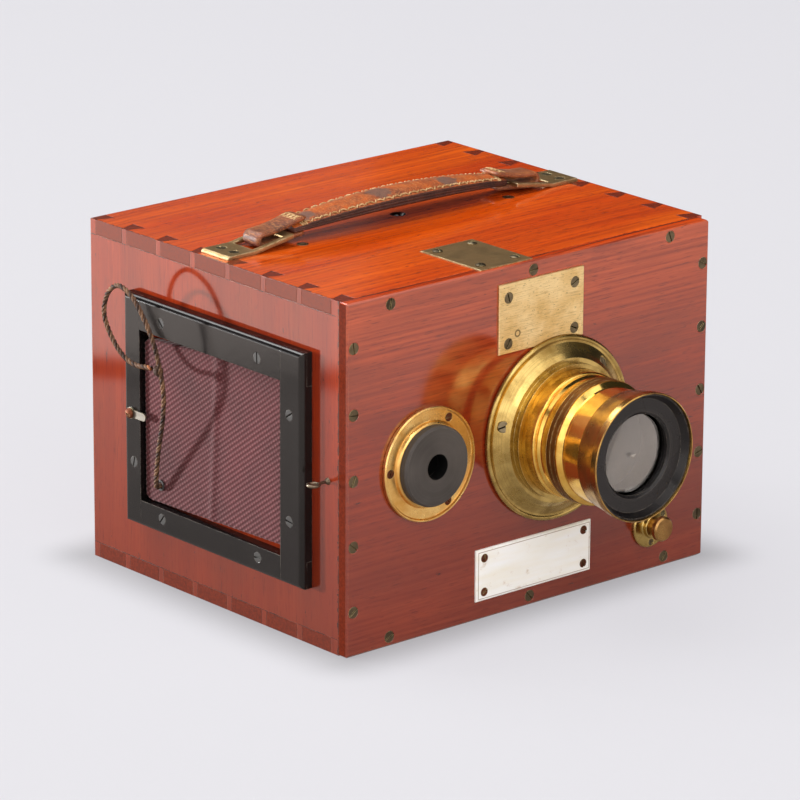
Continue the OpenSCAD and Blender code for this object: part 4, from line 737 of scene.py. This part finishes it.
def fitting_heads(bm):
    """The three leaning heads of the flange and the four flat ones of the plate."""
    for angle, turn in leaning_heads:
        x, z = math.cos(math.radians(angle)), math.sin(math.radians(angle))
        middle = Vector((lens_x + flange_circle * x, face_y - flange_head_out, lens_z + flange_circle * z))
        facing = Vector((x * math.sin(flange_lean), -math.cos(flange_lean), z * math.sin(flange_lean)))
        slotted_head(bm, middle, facing, math.radians(turn))
    for x, z, turn in flat_heads:
        slotted_head(bm, Vector((x, face_y - plate_head_out, z)), Vector((0, -1, 0)), math.radians(turn))


heads = new_piece("fitting_screw_heads", fitting_heads, screw_brass, slot_floor_dark, smooth=False)
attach(heads, "case")
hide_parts("fitting_screws")


# Black parts: the frame of the port, ebonised, half-lapped at its corners and screwed on, the
# ebonite disc of the finder, turned on a lathe, and the blackened lens cell, flap board, shutter
# blade and plate sheaths.

rail_joints = (-48.7 * MM, 44.5 * MM)
eye_hole_r = 5.45 * MM
rubbed_and_highlit_grey = rgb(132, 124, 112)


def black(name, tint, rough, grain=0.3, coat=0.0, reach=0.0004, rubbed=0.35, gloss=0.3, joints=(),
          turned_about=None, hole_r=0.0):
    """Black finish with faint grain and edges lightened grey, partly rubbed and partly a painted
    highlight; when turned, its middle hole is painted near-black as shade.
    """
    made, tree, shader, where = new_material(
        name, Specular_IOR_Level=gloss, Coat_Weight=coat, Coat_Roughness=0.16, Coat_IOR=1.43,
    )
    edges = place_group(tree, edge_group, {"Place": where, "Reach": reach, "Patchy": 260.0})
    cloud = spread(tree, speckle(tree, where, 60, 3), 0.3, 0.7)
    colour = blended(tree, cloud, tint, tuple(c * 1.8 for c in tint[:3]) + (1,))
    # Grey edges: partly rubbed finish, partly painted highlight.
    colour = blended(tree, sums(tree, "MULTIPLY", edges["Mask"], rubbed), colour, rubbed_and_highlit_grey)
    fine = speckle(tree, where, 900, 3, 0.6)
    for y in joints:
        off = put(tree, "SeparateXYZ", {0: where}).outputs["Y"]
        off = sums(tree, "ABSOLUTE", sums(tree, "SUBTRACT", off, y))
        colour = blended(tree, spread(tree, off, 0.0003, 0.0006, 0.9, 0.0), colour, rgb(2, 2, 2))
    if turned_about:
        turned = place_group(tree, turned_group, {"Place": where, "Middle": turned_about})
        fine = turned["Rings"]
        colour = blended(tree, spread(tree, fine, 0.48, 0.68, 0.0, 0.12), colour, rgb(96, 92, 90))
        # Painted shade: inside the eye hole the disc is painted near-black.
        inside = spread(tree, turned["Reach"], hole_r, hole_r + 0.0002, 1.0, 0.0)
        colour = blended(tree, inside, colour, rgb(3, 3, 3))
    if coat:
        rounded = put(tree, "Bevel", {"Radius": reach}, samples=4).outputs[0]
        brushed = raised(tree, speckle(tree, where, 140, 3, 0.6), 0.00009, 0.6, rounded)
        tree.links.new(brushed, shader.inputs["Coat Normal"])
    tree.links.new(colour, shader.inputs["Base Color"])
    tree.links.new(spread(tree, cloud, 0, 1, rough, rough + 0.15), shader.inputs["Roughness"])
    tree.links.new(raised(tree, fine, 0.00002, grain, edges["Rounded"]), shader.inputs["Normal"])
    return made


ebonised = black("ebonised", rgb(12, 10, 10), 0.5, coat=1.0, gloss=0.0, rubbed=0.6)
ebonised_rail = black(
    "ebonised_rail", rgb(12, 10, 10), 0.5, coat=1.0, gloss=0.0, rubbed=0.6, joints=rail_joints,
)
black_iron = black("black_iron", rgb(26, 24, 22), 0.42, reach=0.0003, rubbed=0.15)
ebonite = black("ebonite", rgb(54, 51, 49), 0.5, rubbed=0.5, turned_about=finder_axis, hole_r=eye_hole_r)
cell_black = black("cell_black", rgb(15, 14, 16), 0.2, 0.5, gloss=0.32, rubbed=0.7, turned_about=lens_axis)
blackened = black("blackened", rgb(40, 38, 38), 0.34)
finish_with(ebonised, "frame_stile_front", "frame_stile_rear")
finish_with(ebonised_rail, "frame_rail_top", "frame_rail_low")
finish_with(black_iron, "side_frame_screws")
finish_with(ebonite, "finder_disc")
finish_with(cell_black, "front_lens_cell")
finish_with(blackened, "iris_leaves", "cord_eyelet", "shutter_blade", "plate_sheaths", "side_flap")


# Glasses of the lens and the finder, ground and held in their cells, and the ivory plate under
# the lens. A fine line is cut round the plate's edge, and four screws hold it.

plate_middle = (1.4 * MM, 0, 19.9 * MM)
plate_half = (32.6 * MM, 0, 11.4 * MM)
line_in, line_half, line_fade = 0.0011, 0.0001, 0.00026
glass = new_material(
    "glass", Base_Color=(0.9, 0.89, 0.87, 1), Roughness=0.02, Transmission_Weight=1.0, IOR=2.25,
)[0]
finish_with(glass, "front_glass", "rear_glass")
# Painted shade: the finder's glass is near-black and opaque, for the dark box seen through it.
finish_with(black("finder_glass_painted_dark", rgb(6, 6, 6), 0.4, gloss=0.0), "finder_glass")

ivory, tree, shader, where = new_material("ivory", Roughness=0.38, Subsurface_Weight=0.05)
cloud = streaks(tree, where, (30, 200, 200), 4)
colour = blended(tree, spread(tree, cloud, 0.3, 0.7), rgb(250, 253, 255), rgb(242, 240, 230))
off_edge = vectors(tree, "ABSOLUTE", vectors(tree, "SUBTRACT", where, plate_middle))
off_edge = vectors(tree, "SUBTRACT", off_edge, plate_half)
off_edge = put(tree, "SeparateXYZ", {0: off_edge}).outputs
inward = sums(tree, "MULTIPLY", sums(tree, "MAXIMUM", off_edge["X"], off_edge["Z"]), -1.0)
off_line = sums(tree, "ABSOLUTE", sums(tree, "SUBTRACT", inward, line_in))
cut_line = spread(tree, off_line, line_half, line_fade, 0.7, 0.0)
colour = blended(tree, cut_line, colour, rgb(120, 84, 52))
soiled = speckle(tree, where, 260, 4, 0.65)
colour = blended(tree, spread(tree, soiled, 0.6, 0.75, 0.0, 0.45), colour, rgb(170, 134, 92))
tree.links.new(colour, shader.inputs["Base Color"])
finish_with(ivory, "nameplate")


# Cloth of the flap: burgundy twill, stretched and glued over the board and turned in round its
# edges. Its ribs run at a slant, and a crease stands up along its middle. Painted shade darkens
# the grooves between the ribs, and a painted highlight lightens their crests.

flap_low_front, flap_low_rear = 40.0, 37.2
flap_top_front, flap_top_rear = 112.3, 109.3
flap_front, flap_knee, flap_rear = -48.4, -4.4, 44.0
flap_face_x = -105.3
flap_back_x = -101.9
flap_corner = 4.0
rib_pitch = 1.89
rib_slope = math.radians(35.6)
rib_height = 0.26
cross_pitch = 1.83
cross_slope = math.radians(-61.6)
cloth_cell = 0.42
cloth_in = 0.45
cloth_roll = 0.9
crease_top_y, crease_low_y = -5.6, -1.0
crease_top_z, crease_low_z = 112, 38
crease_rise, crease_half = 0.55, 2.2

cloth_red, tree, shader, where = new_material(
    "burgundy_twill", Roughness=0.8, Specular_IOR_Level=0.15, Sheen_Weight=0.12,
)


def thread_wave(pitch, slope):
    """Height, from 0 to 1, of threads that lie side by side in the plane of the flap."""
    across = vectors(tree, "DOT_PRODUCT", where, (0, math.sin(slope), math.cos(slope)))
    turns = sums(tree, "MULTIPLY", across, 2 * math.pi / (pitch * MM))
    return spread(tree, sums(tree, "SINE", turns), -1, 1)


ribs = thread_wave(rib_pitch, rib_slope)
crossing = thread_wave(cross_pitch, cross_slope)
threads = speckle(tree, where, 1500, 2, 0.7)
faded = spread(tree, speckle(tree, where, 45, 3), 0.3, 0.7)
colour = blended(tree, faded, rgb(60, 19, 22), rgb(81, 30, 34))
# Painted shade in the grooves between the ribs.
colour = blended(tree, spread(tree, ribs, 0.0, 0.5, 0.5, 0.0), colour, rgb(56, 20, 24))
# Painted highlight on the crests where the ribs and crossing threads rise.
crest = sums(tree, "MULTIPLY", spread(tree, ribs, 0.45, 1.0), spread(tree, crossing, 0.35, 0.8))
painted_crest_light = sums(tree, "MULTIPLY", crest, spread(tree, threads, 0.36, 0.6, 0.1, 0.55))
colour = blended(tree, painted_crest_light, colour, rgb(132, 84, 88))
tree.links.new(colour, shader.inputs["Base Color"])
weave = raised(tree, sums(tree, "ADD", sums(tree, "MULTIPLY", crossing, 0.5), ribs), 0.00014, 0.8)
tree.links.new(raised(tree, threads, 0.0001, 0.8, weave), shader.inputs["Normal"])


def flap_edges(y):
    """Lowest and highest point of the cloth at a distance along the flap."""
    share = (y - flap_front) / (flap_rear - flap_front)
    low = flap_low_front + (flap_low_rear - flap_low_front) * share
    fall = max(0.0, (y - flap_knee) / (flap_rear - flap_corner - flap_knee))
    top = flap_top_front + (flap_top_rear - flap_top_front) * min(fall, 1.0)
    into = max(0.0, y - (flap_rear - flap_corner))
    turn = flap_corner - math.sqrt(max(0.0, flap_corner ** 2 - into ** 2))
    return low + turn, top - turn


def twill(bm):
    """The cloth as a grid with raised ribs and a raised crease, rolled over the board's edges."""
    columns = int((flap_rear - flap_front) / cloth_cell)
    rows = int((flap_top_front - flap_low_front) / cloth_cell)
    grid = []
    for i in range(columns + 1):
        y = flap_front + (flap_rear - flap_front) * i / columns
        low, top = flap_edges(y)
        line = []
        for j in range(rows + 1):
            z = low + (top - low) * j / rows
            edge = min(y - flap_front, flap_rear - y, z - low, top - z)
            over = max(0.0, cloth_roll - edge)
            roll = cloth_roll - math.sqrt(max(0.0, cloth_roll ** 2 - over ** 2))
            across = z * math.cos(rib_slope) + y * math.sin(rib_slope)
            rib = rib_height / 2 * math.sin(2 * math.pi * across / rib_pitch)
            fallen = (crease_top_z - z) / (crease_top_z - crease_low_z)
            crease_y = crease_top_y + (crease_low_y - crease_top_y) * fallen
            crease = crease_rise * math.exp(-((y - crease_y) / crease_half) ** 2)
            line.append(bm.verts.new(Vector((flap_face_x + cloth_in + roll - rib - crease, y, z)) * MM))
        grid.append(line)
    for a, b in zip(grid, grid[1:]):
        for j in range(rows):
            bm.faces.new((a[j], b[j], b[j + 1], a[j + 1]))
    rim = [e for e in bm.edges if e.is_boundary]
    made = bmesh.ops.extrude_edge_only(bm, edges=rim)["geom"]
    for v in made:
        if isinstance(v, bmesh.types.BMVert):
            v.co.x = flap_back_x * MM


cloth = new_piece("flap_twill", twill, cloth_red)
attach(cloth, "flap")
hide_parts("flap_cloth")


# Handle: a strap of stitched leather, tan on top and dark at its layered edges, held by two
# loops of the same leather that go round the cross bars of the brackets.

strap_half, strap_w, strap_end_w = 60.0, 18.5, 11.0
strap_t, strap_end_t = 6.3, 3.4
strap_y = 4.0
strap_end_z, strap_mid_z = 156.4, 158.8
strap_steps = 60
top_layer = 0.6
leather_grey = rgb(104, 80, 70)
rubbed_patches = [
    ((-0.010, 0.003, 0.165), 0.0055), ((0.027, 0.001, 0.164), 0.005), ((-0.050, 0.003, 0.161), 0.004),
]


def leather(name, bright, dark, rough=0.45, rubbed=(), stroke=rgb(206, 140, 84)):
    """Old leather: fine grain, cracks, strokes of wear and patches rubbed grey."""
    made, tree, shader, where = new_material(name, Specular_IOR_Level=0.4)
    pebbles = {"Vector": where, "Scale": 1300}
    pebbles = put(tree, "TexVoronoi", pebbles, feature="DISTANCE_TO_EDGE").outputs[0]
    worn = spread(tree, speckle(tree, where, 110, 4, 0.65), 0.4, 0.66)
    colour = blended(tree, worn, bright, dark)
    strokes = speckle(tree, stretched(tree, where, (2400, 260, 2400), (0, 0, 0.35)), 1.0, 3, 0.6)
    colour = blended(tree, spread(tree, strokes, 0.5, 0.68, 0.0, 0.7), colour, stroke)
    for place, reach in rubbed:
        ragged = sums(tree, "MULTIPLY", speckle(tree, where, 330, 3, 0.7), 0.007)
        ragged = sums(tree, "ADD", vectors(tree, "DISTANCE", where, place), ragged)
        patch = spread(tree, ragged, reach + 0.003, reach + 0.004, 0.85, 0.0)
        colour = blended(tree, patch, colour, leather_grey)
    cracks = spread(tree, pebbles, 0.0, 0.12, 0.6, 0.0)
    colour = blended(tree, cracks, colour, rgb(36, 18, 12))
    tree.links.new(colour, shader.inputs["Base Color"])
    tree.links.new(spread(tree, worn, 0, 1, rough, rough + 0.2), shader.inputs["Roughness"])
    tree.links.new(raised(tree, pebbles, 0.0002, 0.5), shader.inputs["Normal"])
    return made


leather_top = leather("leather_tan", rgb(178, 84, 28), rgb(110, 52, 26), rubbed=rubbed_patches)
leather_edge = leather("leather_edge", rgb(74, 36, 26), rgb(44, 23, 17), 0.42, stroke=rgb(118, 66, 46))
thread = cord_thread("linen_thread", rgb(172, 132, 84), rgb(222, 190, 140))


def strap_at(t):
    """Width, underside and thickness of the strap at a share of its half length."""
    u = abs(t)
    swell = max(0.0, math.cos(u * math.pi / 2))
    width = strap_end_w + (strap_w - strap_end_w) * swell ** 0.7
    under = strap_end_z + (strap_mid_z - strap_end_z) * (1 - u * u)
    thick = strap_end_t + (strap_t - strap_end_t) * swell ** 0.6
    return width, under, thick


strap_section = [
    (-0.46, 0.0), (-0.5, 0.1), (-0.5, 0.19), (-0.465, 0.23), (-0.5, 0.27), (-0.5, 0.4), (-0.465, 0.44),
    (-0.5, 0.48), (-0.5, 0.54), (-0.48, 0.62), (-0.43, 0.66), (-0.39, 0.7), (-0.36, 0.74),
    (-0.3, 0.86), (-0.18, 0.95), (0.0, 1.0), (0.18, 0.95), (0.3, 0.86), (0.36, 0.74), (0.39, 0.7),
    (0.43, 0.66), (0.48, 0.62), (0.5, 0.54), (0.5, 0.48), (0.465, 0.44), (0.5, 0.4), (0.5, 0.27),
    (0.465, 0.23), (0.5, 0.19), (0.5, 0.1), (0.46, 0.0),
]


def strap_body(bm):
    """The strap, crowned between its stitched edges."""
    rings = []
    for i in range(-strap_steps, strap_steps + 1):
        t = i / strap_steps
        width, under, thick = strap_at(t)
        rings.append([
            Vector((strap_half * t, strap_y + s * width, under + h * thick)) * MM for s, h in strap_section
        ])
    loft(bm, rings)
    for face in bm.faces:
        centre = face.calc_center_median() / MM
        width, under, thick = strap_at(max(-1, min(1, centre.x / strap_half)))
        if centre.z < under + top_layer * thick:
            face.material_index = 1


strap = new_piece("strap_leather", strap_body, leather_top, leather_edge)
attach(strap, "case")
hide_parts("handle_strap")


stitch_r, binding_r, cross_r = 0.36, 0.4, 0.3
stitch_pitch, first_stitch, bare_pitches = 2.4, 3, 5
stitch_bow = [(-1.15, -1, -0.3), (-0.5, -0.5, 0.3), (0.5, 0.5, 0.3), (1.15, 1, -0.3)]
bindings = (-56.2, -55.2, -54.1, 54.3, 55.4)
uneven = random.Random(5)


def thread_run(bm, places, radius):
    """A round thread through places given in millimetres."""
    line = smooth_path(places, 3)
    rings = []
    for p, (ahead, across, other) in zip(line, path_frames(line)):
        rings.append(ring_round(p, across, other, radius * MM, 7))
    loft(bm, rings)


def stitches(bm):
    """Slanting stitches along both edges of the strap, and bindings over its ends."""
    for side in (-1, 1):
        for i in range(int(2 * strap_half / stitch_pitch) - bare_pitches):
            x = -strap_half + (i + first_stitch) * stitch_pitch
            width, under, thick = strap_at(x / strap_half)
            slant = (0.8 if i % 2 else -0.5) + uneven.uniform(-0.35, 0.35)
            x += uneven.uniform(-0.25, 0.25)
            y = strap_y + side * 0.4 * width
            z = under + 0.7 * thick
            places = [(x + along, y + share * slant, z + rise) for along, share, rise in stitch_bow]
            thread_run(bm, places, stitch_r)
    for x in bindings:
        width, under, thick = strap_at(x / strap_half)
        lean = math.copysign(0.5, x)
        thread_run(bm, [
            (x + lean * s, strap_y + s * (width + 0.3), under + 0.15 + h * (thick + 0.1))
            for s, h in strap_section[8:-8]
        ], binding_r)


strap_thread = new_piece("strap_stitches", stitches, thread)
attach(strap_thread, "case")

loop_w, loop_t = 10.6, 2.2
nose_x, nose_z, nose_r = 76.1, 156.0, 2.3
loop_over = [(53.5, 162.0), (58, 161.2), (64, 159.8), (70, 158.7)]
loop_under = [(70, 153.8), (64, 154.6), (58, 155.2), (54.5, 155.5)]
loop_skived = 0.55
loop_section = [
    (-0.5, -0.25), (-0.46, -0.46), (-0.3, -0.5), (0.3, -0.5), (0.46, -0.46), (0.5, -0.25),
    (0.5, 0.25), (0.46, 0.46), (0.3, 0.5), (-0.3, 0.5), (-0.46, 0.46), (-0.5, 0.25),
]


def leather_loop(side):
    """A band of leather over the strap's end, bent round and back under it through the bracket."""
    def build(bm):
        bend = [
            (nose_x + nose_r * math.sin(a), nose_z + nose_r * math.cos(a))
            for a in [math.pi * k / 12 for k in range(13)]
        ]
        line = smooth_path([(side * x, strap_y, z) for x, z in loop_over + bend + loop_under], 2)
        rings = []
        for i, p in enumerate(line):
            out = Vector((0, 1, 0)).cross(heading(line, i))
            thin = loop_skived if i in (0, len(line) - 1) else 1.0
            rings.append([
                p + Vector((0, v * loop_w * MM, 0)) + out * w * loop_t * thin * MM
                for v, w in loop_section
            ])
        loft(bm, rings)
    return build


leather_loops = leather("leather_loop", rgb(142, 78, 48), rgb(84, 46, 34), 0.36)
for side, hand in ((-1, "left"), (1, "right")):
    loop = new_piece(f"strap_loop_{hand}", leather_loop(side), leather_loops)
    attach(loop, "case")
    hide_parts("strap_loops")


cross_places = (-3.6, -1.2, 1.2, 3.6)
cross_lean = 0.9
cross_bow = [(59.6, -1, 161.7), (58.4, -0.4, 162.35), (56.8, 0.4, 162.7), (55.6, 1, 162.4)]


def cross_stitches(bm):
    """Crossed stitches that hold each loop to the strap's end."""
    for side in (-1, 1):
        for y in cross_places:
            for lean in (-cross_lean, cross_lean):
                places = [(side * x, strap_y + y + share * lean, z) for x, share, z in cross_bow]
                thread_run(bm, places, cross_r)


crossed = new_piece("strap_cross_stitches", cross_stitches, thread)
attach(crossed, "case")
